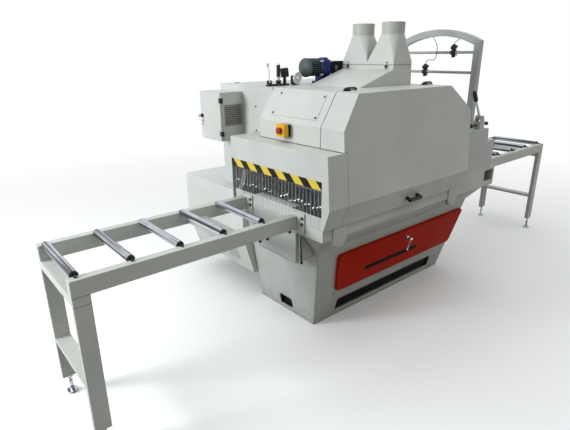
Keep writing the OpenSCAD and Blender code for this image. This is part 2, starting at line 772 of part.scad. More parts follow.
module estop_box() color(yellow) difference() {
  union() {
    block(stop_x0, hood_x0 - stop_back, stop_y0, stop_y1, stop_z0, stop_z1);
    block(hood_x0 - stop_back, hood_x0, stop_y0 + stop_ledge, stop_y1 - stop_ledge, stop_z0 + stop_ledge,
      stop_z1 - stop_ledge);
  }
  rod_x(stop_y, stop_z, stop_x0 - over, hood_x0 - stop_ledge, stem_r + run_fit);
}

module estop_button() color(red) {
  rod_x(stop_y, stop_z, stop_x0 - mushroom_t, hood_x0 - stop_back - stop_travel, stem_r);
  translate([stop_x0 - 2 * stop_travel, stop_y, stop_z]) rotate([0, -90, 0])
    cylinder(r1 = mushroom_r, r2 = mushroom_r * mushroom_share, h = mushroom_t);
}

// Dust hood on the top and the twin ducts above it
hood_base_x0 = -463;
hood_base_x1 = 31;
hood_base_y0 = -370;
hood_base_y1 = 52;
neck_x0 = -159;
neck_x1 = 24;
stack_h = port_top - hood_top;
stack_shares = [0.2554, 0.3199, 0.3629];
neck_z = hood_top + stack_h * stack_shares[0];
neck_top = hood_top + stack_h * stack_shares[1];
duct_z = hood_top + stack_h * stack_shares[2];
port_x = -70;
port_ys = [-42, -283];
port_z = port_top - port_len;
port_wall = 3;

module dust_hood() color(grey) {
  line = [[hood_base_x0, hood_top], [neck_x0, neck_z], [neck_x0, neck_top], [neck_x1, neck_top],
    [hood_base_x1, hood_top]];
  inner = [[hood_base_x0 + 4 * skin, hood_top - over], [neck_x0 + skin, neck_z],
    [neck_x0 + skin, neck_top + over], [neck_x1 - skin, neck_top + over],
    [hood_base_x1 - skin, hood_top - over]];
  difference() {
    along_y(hood_base_y0, hood_base_y1) polygon(line);
    along_y(hood_base_y0 + skin, hood_base_y1 - skin) polygon(inner);
  }
  for (y = latch_ys) {
    rod_y(neck_x0 - latch_pin_off, latch_z, y - latch_half, y + latch_half, latch_pin_r);
    for (s = [-1, 1]) {
      ys = y + s * (latch_half - latch_ear / 2);
      block(neck_x0 - latch_pin_off - latch_pin_r, neck_x0, ys - latch_ear / 2, ys + latch_ear / 2,
        latch_z - latch_pin_r, latch_z + latch_pin_r);
    }
  }
}

module duct_skin(y0, y1, py, t) hull() {
  block(neck_x0 + t, neck_x1 - t, y0 + t, y1 - t, duct_z - (t > 0 ? over : 0), duct_z + skin);
  translate([port_x, py, port_z - skin])
    cylinder(r = port_d / 2 - t, h = skin + (t > 0 ? over : 0), $fn = 32);
}

module dust_ducts() color(grey) {
  mid_y = (hood_base_y0 + hood_base_y1) / 2;
  difference() {
    union() {
      block(neck_x0, neck_x1, hood_base_y0, hood_base_y1, neck_top, duct_z);
      duct_skin(mid_y, hood_base_y1, port_ys[0], 0);
      duct_skin(hood_base_y0, mid_y, port_ys[1], 0);
    }
    block(neck_x0 + skin, neck_x1 - skin, hood_base_y0 + skin, hood_base_y1 - skin, neck_top - over,
      duct_z);
    duct_skin(mid_y, hood_base_y1, port_ys[0], port_wall);
    duct_skin(hood_base_y0, mid_y, port_ys[1], port_wall);
  }
  for (py = port_ys) {
    translate([port_x, py, port_z]) difference() {
      cylinder(r = port_d / 2, h = port_len);
      translate([0, 0, -over]) cylinder(r = port_d / 2 - port_wall, h = port_len + 2 * over);
    }
  }
}

latch_ys = [0, -318];
latch_rise = 12;
latch_z = neck_z + latch_rise;
latch_pin_off = 6;
latch_pin_r = 2.5;
latch_half = 12;
latch_ear = 5;
latch_hub_r = 5;
latch_h = 16;

module duct_latches() color(dark) for (y = latch_ys) {
  w = latch_half - latch_ear - move_gap / 2;
  x = neck_x0 - latch_pin_off;
  difference() {
    union() {
      rod_y(x, latch_z, y - w, y + w, latch_hub_r);
      block(x - latch_hub_r, x - latch_hub_r / 3, y - w, y + w, latch_z, latch_z + latch_h);
    }
    rod_y(x, latch_z, y - latch_half, y + latch_half, latch_pin_r + run_fit);
  }
}

// Outfeed canopy with the bracket of its hand lever
out_x0 = hood_x1 + skin;
out_x1 = 800;
out_low_x = 704;
out_top_x = 690;
out_top = 1197;
out_low_z = 1104;
out_y1 = housing_y0 - seam_gap;
out_mouth_z = 1050;
fork_x = 608;
fork_y = -565;
fork_half = 25;
fork_plate = 9;
fork_w = 60;
fork_base_h = 50;
fork_rise = 78;
fork_z = out_top + fork_rise;
fork_pin_r = 6;
fork_ear_r = 17;
bar_rise = 28;
bar_z = out_top + bar_rise;
bar_r = 5;

module outfeed_box() color(shade) {
  line = [[out_x0, bed_top], [out_x0, out_top], [out_top_x, out_top], [out_low_x, out_low_z],
    [out_x1, out_low_z], [out_x1, bed_top]];
  inner = [[out_x0 - over, bed_top - over], [out_x0 - over, out_top - skin],
    [out_top_x - skin, out_top - skin], [out_low_x - skin, out_low_z - skin],
    [out_x1 - skin, out_low_z - skin], [out_x1 - skin, bed_top - over]];
  difference() {
    along_y(bed_y0, out_y1) polygon(line);
    along_y(bed_y0 + skin, out_y1 - skin) polygon(inner);
    block(out_x1 - skin - over, out_x1 + over, bed_y0 + 2 * skin, out_y1 - 2 * skin, bed_top - over,
      out_mouth_z);
  }
  difference() {
    union() {
      block(fork_x - fork_w / 2, fork_x + fork_w / 2, fork_y - fork_half, fork_y + fork_half, out_top,
        out_top + fork_base_h);
      for (s = [-1, 1]) {
        y = fork_y + s * (fork_half - fork_plate / 2);
        along_y(y - fork_plate / 2, y + fork_plate / 2) {
          translate([fork_x, fork_z]) circle(fork_ear_r);
          polygon([[fork_x - fork_w / 2, out_top + fork_base_h],
            [fork_x + fork_w / 2, out_top + fork_base_h], [fork_x + fork_ear_r, fork_z],
            [fork_x - fork_ear_r, fork_z]]);
        }
      }
      rod_y(fork_x, fork_z, fork_y - fork_half, fork_y + fork_half, fork_pin_r);
    }
    rod_x(fork_y, bar_z, fork_x - fork_w, fork_x + fork_w, bar_r + run_fit);
  }
}

lever_lean = 33;
lever_hub_r = 14;
lever_rod_r = 8;
lever_rod_len = 140;
lever_grip_r = 15;
lever_grip_len = 82;

module hand_lever() color(dark) {
  w = fork_half - fork_plate - move_gap / 2;
  difference() {
    union() {
      rod_y(fork_x, fork_z, fork_y - w, fork_y + w, lever_hub_r);
      translate([fork_x, fork_y, fork_z]) rotate([0, -lever_lean, 0]) {
        cylinder(r = lever_rod_r, h = lever_rod_len + lever_grip_len / 2);
        translate([0, 0, lever_rod_len]) cylinder(r = lever_grip_r, h = lever_grip_len);
      }
    }
    rod_y(fork_x, fork_z, fork_y - fork_half, fork_y + fork_half, fork_pin_r + run_fit);
  }
}

bar_half = 106;
knob_r = 14;

module clamp_bar() color(dark) {
  rod_x(fork_y, bar_z, fork_x - bar_half, fork_x + bar_half, bar_r);
  for (s = [-1, 1]) translate([fork_x + s * bar_half, fork_y, bar_z])
    rotate([0, 90, 0]) sphere(knob_r);
}

// Arch over the outfeed with two bars that carry the line lasers
arch_x = 646;
arch_w = 45;
arch_y0 = -470;
arch_y1 = 150;
arch_crest = 1871;
arch_r = 712;
arch_mid = (arch_y0 + arch_y1) / 2;
arch_half = (arch_y1 - arch_y0 + arch_w) / 2;
arch_rise = arch_r - sqrt(pow(arch_r, 2) - pow(arch_half, 2));
post_top = arch_crest - arch_rise - arch_w / 2;
laser_r = 10;
laser_drops = [159, 296];
laser_zs = [for (d = laser_drops) arch_crest - d];
laser_ys = [-285, -60];
laser_half_y = 30;
laser_half_x = 24;
laser_below = 34;
laser_above = 56;

module laser_arch() color(shade) {
  along_x(arch_x - arch_w / 2, arch_x + arch_w / 2) {
    intersection() {
      translate([arch_mid, arch_crest - arch_r]) difference() {
        circle(arch_r, $fn = 128);
        circle(arch_r - arch_w, $fn = 128);
      }
      translate([arch_mid - arch_half, arch_crest - arch_rise - arch_w])
        square([2 * arch_half, arch_rise + arch_w]);
    }
    translate([arch_y0 - arch_w / 2, out_top]) square([arch_w, post_top - out_top]);
    translate([arch_y1 - arch_w / 2, bed_top]) square([arch_w, post_top - bed_top]);
  }
  for (z = laser_zs) rod_y(arch_x, z, arch_y0, arch_y1, laser_r);
}

module laser(y, z) color(dark) difference() {
  block(arch_x - laser_half_x, arch_x + laser_half_x, y - laser_half_y, y + laser_half_y,
    z - laser_below, z + laser_above);
  rod_y(arch_x, z, y - 2 * laser_half_y, y + 2 * laser_half_y, laser_r + run_fit);
}
module upper_laser() laser(laser_ys[0], laser_zs[0]);
module lower_laser() laser(laser_ys[1], laser_zs[1]);

// Leads of the lasers, from the arch's underside to the top of each laser
cable_d = 5;
cable_sides = 8;
upper_run = [[0, -322, -65.3], [0, -321, -68], [-1, -318, -72], [-2, -314, -75], [-3, -309, -78],
  [-4, -304, -81], [-4, -299, -84], [-4, -294, -87], [-3, -290, -90], [-2, -287, -94],
  [0, -285, -98], [0, -285, -103]];
lower_run = [[0, -106, -48], [0, -110, -59], [-3, -122, -72], [-8, -136, -85], [-15, -149, -99],
  [-21, -158, -115], [-24, -162, -133], [-25, -163, -151], [-25, -162, -169], [-24, -158, -186],
  [-21, -150, -201], [-17, -137, -210], [-12, -121, -212], [-8, -104, -211], [-5, -87, -211],
  [-2, -72, -215], [0, -63, -223], [0, -60, -232], [0, -60, -240]];
upper_route = [for (p = upper_run) p + [arch_x, 0, arch_crest]];
lower_route = [for (p = lower_run) p + [arch_x, 0, arch_crest]];

function way(p, i) = unit(p[min(i + 1, len(p) - 1)] - p[max(i - 1, 0)]);
function ring(p, i, r, n) =
  let (t = way(p, i), a = unit(cross(t, [1, 0, 0])), b = cross(t, a))
  [for (k = [0 : n - 1]) p[i] + r * (a * cos(360 * k / n) + b * sin(360 * k / n))];

module tube(p, d, n) {
  m = len(p);
  points = [for (i = [0 : m - 1]) each ring(p, i, d / 2, n)];
  sides = [for (i = [0 : m - 2]) for (k = [0 : n - 1])
    let (a = i * n + k, b = i * n + (k + 1) % n) each [[a, b + n, b], [a, a + n, b + n]]];
  ends = [[for (k = [0 : n - 1]) k], [for (k = [n - 1 : -1 : 0]) (m - 1) * n + k]];
  polyhedron(points, concat(sides, ends));
}

module upper_laser_cable() color(dark) tube(upper_route, cable_d, cable_sides);
module lower_laser_cable() color(dark) tube(lower_route, cable_d, cable_sides);

// Roller tables
rail_y0 = table_y - table_wid / 2;
rail_y1 = table_y + table_wid / 2;
leg_t = 30;
roller_count = 5;
roller_inset = 35;
roller_gap = 7;
roller_rise = 2;
roller_z = rail_top + roller_rise;
head_h = 42;
shelf_t = 20;
shelf_z = 350;
plate_x = 841;
plate_w = 120;
plate_t = 12;
plate_drop = 52;
bracket_t = 10;
bracket_reach = 59;
bracket_z0 = 774;
bracket_z1 = 886;
bolt_r = 7;
bolt_h = 9;
bolt_rise = 26;
bracket_y = [for (rail = [rail_y0, rail_y1 - rail_w]) [rail - bracket_reach, rail + rail_w]];
bolt_y = [for (b = bracket_y) b[0] + 2 * bolt_r];
infeed_fix = bed_x0 - bracket_t;
outfeed_fix = bed_x1 + bracket_t;
infeed_xs = [for (i = [0 : roller_count - 1]) infeed_x + roller_inset + i * infeed_pitch];
outfeed_xs = [for (i = [0 : roller_count - 1]) outfeed_x - roller_inset - i * outfeed_pitch];

// Both rails, the legs at the free end and the fixed roller axles
module roller_table(free_x, fix_x, xs) {
  s = free_x < fix_x ? 1 : -1;
  low = min(free_x, fix_x);
  high = max(free_x, fix_x);
  leg_x0 = min(free_x, free_x + s * leg_l);
  leg_x1 = leg_x0 + leg_l;
  block(low, high, rail_y0, rail_y0 + rail_w, rail_top - rail_h, rail_top);
  block(low, high, rail_y1 - rail_w, rail_y1, rail_top - rail_h, rail_top);
  for (y = [rail_y0, rail_y1 - leg_t])
    block(leg_x0, leg_x1, y, y + leg_t, leg_low, rail_top - rail_h);
  block(leg_x0, leg_x1, rail_y0, rail_y1, rail_top - rail_h - head_h, rail_top - rail_h);
  block(leg_x0, leg_x1, rail_y0, rail_y1, shelf_z - shelf_t, shelf_z);
  tie_x = free_x + s * plate_x;
  block(tie_x - plate_w / 2, tie_x + plate_w / 2, rail_y0 + rail_w / 2, rail_y1 - rail_w / 2,
    rail_top - plate_drop - plate_t, rail_top - plate_drop);
  for (x = xs) rod_y(x, roller_z, rail_y0 + rail_w / 2, rail_y1 - rail_w / 2, axle_d / 2);
}

module infeed_table() color(grey) roller_table(infeed_x, infeed_fix, infeed_xs);
module outfeed_table() color(shade) roller_table(outfeed_x, outfeed_fix, outfeed_xs);

module table_brackets() color(grey) {
  for (side = [0, 1]) {
    for (x0 = [bed_x0 - bracket_t, bed_x1]) {
      block(x0, x0 + bracket_t, bracket_y[side][0], bracket_y[side][1], bracket_z0, bracket_z1);
      head_x = x0 < 0 ? x0 - bolt_h : x0 + bracket_t;
      for (z = [bracket_z0 + 2 * bolt_rise, bracket_z1 - bolt_rise]) {
        rod_x(bolt_y[side], z, head_x, head_x + bolt_h, bolt_r);
      }
    }
  }
}

// Levelling feet, locked by their nuts
foot_r = 26;
foot_h = 14;
stem_foot_r = 8;
foot_nut_r = 15;
foot_nut_h = 12;

module leveling_feet() color(chrome)
  for (x = [infeed_x + leg_l / 2, outfeed_x - leg_l / 2]) {
    for (y = [rail_y0 + leg_t / 2, rail_y1 - leg_t / 2]) {
      rod_z(x, y, 0, foot_h, foot_r);
      rod_z(x, y, foot_h / 2, leg_low, stem_foot_r);
      rod_z(x, y, leg_low - foot_nut_h, leg_low, foot_nut_r);
    }
  }

module table_roller(x) color(chrome) difference() {
  rod_y(x, roller_z, rail_y0 + rail_w + roller_gap, rail_y1 - rail_w - roller_gap, roller_d / 2);
  rod_y(x, roller_z, rail_y0, rail_y1, axle_d / 2 + run_fit);
}
module infeed_roller_1() table_roller(infeed_xs[0]);
module infeed_roller_2() table_roller(infeed_xs[1]);
module infeed_roller_3() table_roller(infeed_xs[2]);
module infeed_roller_4() table_roller(infeed_xs[3]);
module infeed_roller_5() table_roller(infeed_xs[4]);
module outfeed_roller_1() table_roller(outfeed_xs[0]);
module outfeed_roller_2() table_roller(outfeed_xs[1]);
module outfeed_roller_3() table_roller(outfeed_xs[2]);
module outfeed_roller_4() table_roller(outfeed_xs[3]);
module outfeed_roller_5() table_roller(outfeed_xs[4]);

// Column on the bed that carries the arbor's bearings and guides the pressure beam
column_x0 = -560;
column_x1 = 100;
column_y0 = 68;
column_y1 = 200;
column_top = 1490;
column_wall = 20;
column_gap = 20;
bearing_hub_r = 86;
key_xs = [-490, 30];
key_w = 16;
key_depth = 14;
slide_gap = 0.4;
beam_room = 11;
beam_h = 290;
beam_z0 = arbor_z + arbor_d / 2 + beam_room;
beam_z1 = beam_z0 + beam_h;

module main_column() color(shade) difference() {
  union() {
    difference() {
      block(column_x0, column_x1, column_y0, column_y1, bed_top, column_top);
      block(column_x0 + column_wall, column_x1 - column_wall, column_y0 + 2 * column_wall,
        column_y1 - column_wall, bed_top + column_wall, column_top + over);
    }
    rod_y(arbor_x, arbor_z, column_y0, column_y1, bearing_hub_r);
  }
  rod_y(arbor_x, arbor_z, column_y0 - over, column_y1 + over, arbor_d / 2 + run_fit);
  for (x = key_xs)
    block(x - key_w / 2, x + key_w / 2, column_y0 - over, column_y0 + key_depth, beam_z0 - key_w,
      column_top + over);
}

// Saw arbor with spacers and pulley, and the blades
blade_count = 5;
bore_r = arbor_d / 2;
spacer_wall = 15;
spacer_r = bore_r + spacer_wall;
arbor_y0 = -320;
arbor_end = 6;
pulley_y0 = 310;
pulley_y1 = 400;
hub_out = 10;
tooth_count = 24;
gullet_share = 0.94;
gullet_turn_share = 0.3;
first_blade_y = -280;
function blade_y(i) = first_blade_y + i * blade_pitch;

module saw_arbor() color(steel) {
  rod_y(arbor_x, arbor_z, arbor_y0, pulley_y1 + hub_out, bore_r);
  rod_y(arbor_x, arbor_z, arbor_y0 + arbor_end, blade_y(0) - blade_t / 2, spacer_r);
  for (i = [0 : blade_count - 2]) {
    rod_y(arbor_x, arbor_z, blade_y(i) + blade_t / 2, blade_y(i + 1) - blade_t / 2, spacer_r);
  }
  rod_y(arbor_x, arbor_z, blade_y(blade_count - 1) + blade_t / 2, work_y1, spacer_r);
  rod_y(arbor_x, arbor_z, pulley_y0, pulley_y1, arbor_pulley_d / 2);
}

module saw_blades() color(chrome) for (i = [0 : blade_count - 1]) {
  along_y(blade_y(i) - blade_t / 2, blade_y(i) + blade_t / 2) translate([arbor_x, arbor_z]) difference() {
    polygon([for (k = [0 : tooth_count - 1]) each [
      blade_d / 2 * [cos(360 * k / tooth_count), sin(360 * k / tooth_count)],
      blade_d / 2 * gullet_share * [cos(360 * (k + gullet_turn_share) / tooth_count),
        sin(360 * (k + gullet_turn_share) / tooth_count)]]]);
    circle(bore_r + run_fit);
  }
}

// Pressure beam: slide on the column, bridge over the blades and hangers for the upper feed rollers
beam_y0 = -342;
bridge_z = arbor_z + blade_d / 2 + beam_room;
bridge_t = 12;
hanger_half = 32;
hanger_t = 18;
slide_t = 18;
upper_z = bed_top + stock_h + feed_d / 2;
roller_side = 4;
bridge_rim = 14;

module pressure_beam() color(shade) difference() {
  union() {
    slide_y1 = column_y0 - slide_gap;
    slide_y0 = slide_y1 - slide_t;
    x0 = feed_x[0] - hanger_half - bridge_rim;
    x1 = feed_x[1] + hanger_half + bridge_rim;
    top = bridge_z + bridge_t;
    block(x0, x1, slide_y0, slide_y1, beam_z0, beam_z1);
    for (x = key_xs)
      block(x - key_w / 2 + slide_gap, x + key_w / 2 - slide_gap, slide_y0,
        column_y0 + key_depth - slide_gap, beam_z0, beam_z1);
    block(x0, x1, beam_y0, slide_y1, bridge_z, top);
    for (x = feed_x) {
      z0 = upper_z - hanger_half;
      block(x - hanger_half, x + hanger_half, beam_y0, beam_y0 + hanger_t, z0, top);
      block(x - hanger_half, x + hanger_half, work_y1 + roller_side, slide_y1, z0, top);
    }
  }
  for (x = feed_x) rod_y(x, upper_z, beam_y0 - over, column_y0 + over, feed_axle_r + run_fit);
}

module upper_feed_roller(i) color(steel)
  feed_roller(feed_x[i], upper_z, beam_y0 + over, column_y0 - over);
module upper_feed_roller_1() upper_feed_roller(0);
module upper_feed_roller_2() upper_feed_roller(1);

// Main motor, its pulley and the belts up to the arbor
motor_z = 530;
motor_r = 150;
motor_y0 = 470;
motor_y1 = 960;
motor_foot_w = 240;
motor_foot_in = 60;
shaft_r = 24;
shaft_depth = 60;
belt_count = 3;
belt_t = 9;
belt_w = 20;
belt_gap = 0.5;

module main_motor() color(blue) difference() {
  union() {
    rod_y(arbor_x, motor_z, motor_y0, motor_y1, motor_r);
    block(arbor_x - motor_foot_w / 2, arbor_x + motor_foot_w / 2, motor_y0 + motor_foot_in,
      motor_y1 - motor_foot_in, motor_box_low + skin, motor_z);
  }
  rod_y(arbor_x, motor_z, motor_y0 - over, motor_y0 + shaft_depth, shaft_r + run_fit);
}

module motor_pulley() color(steel) {
  rod_y(arbor_x, motor_z, pulley_y0, pulley_y1, motor_pulley_d / 2);
  rod_y(arbor_x, motor_z, pulley_y0, motor_y0 + shaft_depth - move_gap, shaft_r);
}

module belt_loop(t) hull() {
  translate([arbor_x, arbor_z]) circle(arbor_pulley_d / 2 + t, $fn = 40);
  translate([arbor_x, motor_z]) circle(motor_pulley_d / 2 + t, $fn = 40);
}

module drive_belts() color(dark) for (i = [0 : belt_count - 1]) {
  y = pulley_y0 + (2 * i + 1) * (pulley_y1 - pulley_y0) / (2 * belt_count);
  along_y(y - belt_w / 2, y + belt_w / 2) difference() {
    belt_loop(belt_t);
    belt_loop(belt_gap);
  }
}

// Geared feed motor on the housing's top
gear_y = 130;
gear_z = 1625;
fan_x0 = -457;
fan_x1 = -425;
feed_motor_x1 = -322;
gear_x1 = -250;
reducer_x1 = -95;
feed_motor_r = 56;
fan_r = 59;
gear_half = 62;
reducer_half = 45;
reducer_z0 = 1572;
reducer_z1 = 1662;
gear_foot_x0 = -318;
gear_foot_x1 = -120;

module feed_gearmotor() color(blue) {
  rod_x(gear_y, gear_z, fan_x0, fan_x1, fan_r);
  rod_x(gear_y, gear_z, fan_x1, feed_motor_x1, feed_motor_r);
  block(feed_motor_x1, gear_x1, gear_y - gear_half, gear_y + gear_half, gear_z - gear_half,
    gear_z + gear_half);
  block(gear_x1, reducer_x1, gear_y - reducer_half, gear_y + reducer_half, reducer_z0, reducer_z1);
  block(gear_foot_x0, gear_foot_x1, gear_y - reducer_half, gear_y + reducer_half, housing_top,
    reducer_z0);
}

// Setting controls on the top: stand with counter, handwheel and two levers
stand_y = 150;
stand_half = 20;
stand_x0 = -740;
stand_x1 = -490;
stand_t = 12;
counter_x0 = -612;
counter_x1 = -572;
counter_z0 = 1571;
counter_z1 = 1626;
counter_neck = 10;
wheel_x = -509;
wheel_z = 1562;
wheel_r = 38;
wheel_rim_r = 4.5;
wheel_y = 118;
wheel_hub_r = 10;
wheel_shaft_r = 6;
wheel_block = 17;
spoke_r = 3;
spoke_count = 3;
grip_x = -643;
grip_rise = 14;
grip_pin_z = housing_top + stand_t + grip_rise;
ear_half = 13;
ear_t = 5;
ear_r = 10;
pin_r = 4;
thin_x = -717;

// A fork with a pin on the stand
module pin_ears(x) {
  for (s = [-1, 1]) {
    xc = x + s * (ear_half - ear_t / 2);
    rod_x(stand_y, grip_pin_z, xc - ear_t / 2, xc + ear_t / 2, ear_r);
    block(xc - ear_t / 2, xc + ear_t / 2, stand_y - ear_r, stand_y + ear_r, housing_top, grip_pin_z);
  }
  rod_x(stand_y, grip_pin_z, x - ear_half, x + ear_half, pin_r);
}

module control_stand() color(dark) difference() {
  union() {
    y0 = stand_y - stand_half;
    y1 = stand_y + stand_half;
    neck_x = (counter_x0 + counter_x1) / 2;
    block(stand_x0, stand_x1, y0, y1, housing_top, housing_top + stand_t);
    block(counter_x0, counter_x1, y0, y1, counter_z0, counter_z1);
    block(neck_x - counter_neck, neck_x + counter_neck, stand_y - counter_neck, stand_y + counter_neck,
      housing_top, counter_z0);
    block(wheel_x - wheel_block, wheel_x + wheel_block, y0, y1, housing_top, wheel_z + wheel_block);
    pin_ears(grip_x);
    pin_ears(thin_x);
  }
  rod_y(wheel_x, wheel_z, stand_y - stand_half - over, stand_y + stand_half + over,
    wheel_shaft_r + run_fit);
}

module handwheel() color(chrome) {
  translate([wheel_x, wheel_y, wheel_z]) rotate([90, 0, 0])
    rotate_extrude() translate([wheel_r - wheel_rim_r, 0]) circle(wheel_rim_r, $fn = 24);
  rod_y(wheel_x, wheel_z, wheel_y - wheel_rim_r, stand_y + stand_half, wheel_shaft_r);
  rod_y(wheel_x, wheel_z, wheel_y - wheel_rim_r, wheel_y + wheel_rim_r, wheel_hub_r);
  for (i = [0 : spoke_count - 1]) translate([wheel_x, wheel_y, wheel_z])
    rotate([0, i * 360 / spoke_count, 0]) cylinder(r = spoke_r, h = wheel_r - wheel_rim_r);
}

grip_hub_r = 8;
grip_rod_r = 7;
grip_low = 26;
grip_len = 74;
grip_r = 13;
thin_rod_r = 5;
thin_len = 105;
thin_knob_r = 8;

module pivot_hub(x) difference() {
  half = ear_half - ear_t - move_gap / 2;
  rod_x(stand_y, grip_pin_z, x - half, x + half, grip_hub_r);
  rod_x(stand_y, grip_pin_z, x - ear_half, x + ear_half, pin_r + run_fit);
}

module crank_lever() color(dark) {
  pivot_hub(grip_x);
  translate([grip_x, stand_y, grip_pin_z + grip_hub_r - move_gap]) cylinder(r = grip_rod_r, h = grip_low);
  translate([grip_x, stand_y, grip_pin_z + grip_low]) cylinder(r = grip_r, h = grip_len);
}

module clamp_lever() color(chrome) {
  pivot_hub(thin_x);
  translate([thin_x, stand_y, grip_pin_z + grip_hub_r - move_gap]) cylinder(r = thin_rod_r, h = thin_len);
  translate([thin_x, stand_y, grip_pin_z + thin_len]) sphere(thin_knob_r);
}

base_frame();
bed_casting();
infeed_canopy();
strip_curtain();
kickback_fingers();
front_hood();
access_cover();
side_door();
door_hinges();
door_handle();
drive_housing();
motor_housing();
electrical_cabinet();
cabinet_door();
cabinet_lock();
estop_box();
estop_button();
dust_hood();
dust_ducts();
duct_latches();
outfeed_box();
hand_lever();
clamp_bar();
laser_arch();
upper_laser();
lower_laser();
upper_laser_cable();
lower_laser_cable();
infeed_table();
outfeed_table();
table_brackets();
leveling_feet();
infeed_roller_1();
infeed_roller_2();
infeed_roller_3();
infeed_roller_4();
infeed_roller_5();
outfeed_roller_1();
outfeed_roller_2();
outfeed_roller_3();
outfeed_roller_4();
outfeed_roller_5();
red_panel();
panel_lever();
main_column();
saw_arbor();
saw_blades();
pressure_beam();
upper_feed_roller_1();
upper_feed_roller_2();
lower_feed_roller_1();
lower_feed_roller_2();
main_motor();
motor_pulley();
drive_belts();
feed_gearmotor();
control_stand();
handwheel();
clamp_lever();
crank_lever();
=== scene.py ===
"""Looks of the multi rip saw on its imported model: finishes, detail pieces, leads, stage and camera."""
import logging
import math
from collections.abc import Sequence
from dataclasses import dataclass, field
from enum import Enum

import bpy
import numpy as np
from mathutils import Matrix


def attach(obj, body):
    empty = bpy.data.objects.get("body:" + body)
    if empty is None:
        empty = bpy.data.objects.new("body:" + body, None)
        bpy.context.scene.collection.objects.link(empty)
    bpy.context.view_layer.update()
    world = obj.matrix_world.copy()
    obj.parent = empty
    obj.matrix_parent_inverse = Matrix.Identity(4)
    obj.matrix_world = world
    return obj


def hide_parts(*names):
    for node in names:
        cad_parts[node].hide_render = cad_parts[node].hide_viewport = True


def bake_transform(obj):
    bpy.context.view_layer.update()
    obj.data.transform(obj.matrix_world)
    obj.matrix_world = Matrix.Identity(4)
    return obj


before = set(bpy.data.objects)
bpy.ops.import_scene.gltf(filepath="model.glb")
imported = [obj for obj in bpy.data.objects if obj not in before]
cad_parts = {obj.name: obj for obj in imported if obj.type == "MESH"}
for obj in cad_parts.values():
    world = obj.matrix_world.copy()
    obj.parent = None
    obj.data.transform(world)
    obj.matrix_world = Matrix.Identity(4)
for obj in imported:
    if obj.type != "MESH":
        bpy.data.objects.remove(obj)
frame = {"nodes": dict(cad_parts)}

LOG = logging.getLogger("rip_saw")
MM = 0.001
CORNER_SPANS = 5
RIM_SPANS = 3
CURVE_SPANS = 6
SMOOTH_DEGREES = 35.0
Pair = tuple[float, float]
Triple = tuple[float, float, float]
Panel = tuple[float, float, float, float]
Vec = Sequence[float]
Points = Sequence[Vec]
Colour = Triple
Socket = bpy.types.NodeSocket
Material = bpy.types.Material
WHITE: Colour = (1.0, 1.0, 1.0)
DUST: Colour = (0.20, 0.19, 0.165)
# near-black colour of the painted shade inside the machine
INTERIOR_SHADE: Colour = (0.02, 0.021, 0.022)


class Slot(Enum):
    """Material slots of the record; each new piece names one."""

    GREY = "grey_paint"
    SHADE = "shade_paint"
    BLACK = "black_plastic"
    CHROME = "chrome"
    STEEL = "steel"
    BLUE = "blue_paint"
    CLEAR = "clear_pvc"
    YELLOW = "yellow_plastic"
    RED = "red_plastic"
    RUBBER = "rubber"


class Axis(Enum):
    """Direction along which a flat outline is given its thickness."""

    X = (2, 0, 1)
    Y = (1, 2, 0)
    Z = (0, 1, 2)


@dataclass
class Shape:
    """Points in millimetres, the quads between them and the polygons that close the ends.

    Attributes:
        points: array of n by 3.
        quads: array of m by 4 indices.
        caps: closing polygons.
    """

    points: np.ndarray
    quads: np.ndarray
    caps: list[list[int]] = field(default_factory=list)

    @staticmethod
    def joined(shapes: Sequence["Shape"]) -> "Shape":
        """Several shapes as one, each keeping its own points.

        Args:
            shapes: shapes to put together.
        Returns:
            The joined shape.
        """
        starts = np.cumsum([0] + [len(s.points) for s in shapes])
        points = np.concatenate([s.points for s in shapes])
        quads = np.concatenate([s.quads + k for s, k in zip(shapes, starts)])
        caps = [[int(i + k) for i in cap] for s, k in zip(shapes, starts) for cap in s.caps]
        return Shape(points, quads, caps)

    def moved(self, offset: Vec) -> "Shape":
        """The shape shifted by an offset in millimetres."""
        return Shape(self.points + np.asarray(offset, float), self.quads, self.caps)

    def turned(self, degrees: float, axis: str, about: Vec) -> "Shape":
        """The shape turned about an axis through a point.

        Args:
            degrees: angle by the right-hand rule.
            axis: letter of the axis.
            about: point on the axis.
        Returns:
            The turned shape.
        """
        turn = np.array(Matrix.Rotation(math.radians(degrees), 3, axis))
        centre = np.asarray(about, float)
        return Shape((self.points - centre) @ turn.T + centre, self.quads, self.caps)


def grid(points: np.ndarray, ring: bool = False, caps: bool = False, loop: bool = False) -> Shape:
    """Rows of points joined to their neighbours by quads.

    Args:
        points: array of rows by columns by 3; columns run anticlockwise seen against the rows' direction.
        ring: whether each row closes on itself.
        caps: whether the first and last row are closed by polygons.
        loop: whether the last row joins the first.
    Returns:
        The shape.
    """
    rows, columns = points.shape[:2]
    index = np.arange(rows * columns).reshape(rows, columns)
    rows_of = np.concatenate([index, index[:1]]) if loop else index
    here = rows_of if ring else rows_of[:, :-1]
    after = np.roll(rows_of, -1, axis=1) if ring else rows_of[:, 1:]
    quads = np.stack([here[:-1], after[:-1], after[1:], here[1:]], axis=-1).reshape(-1, 4)
    ends = [index[0][::-1].tolist(), index[-1].tolist()] if caps else []
    return Shape(points.reshape(-1, 3), quads, ends)


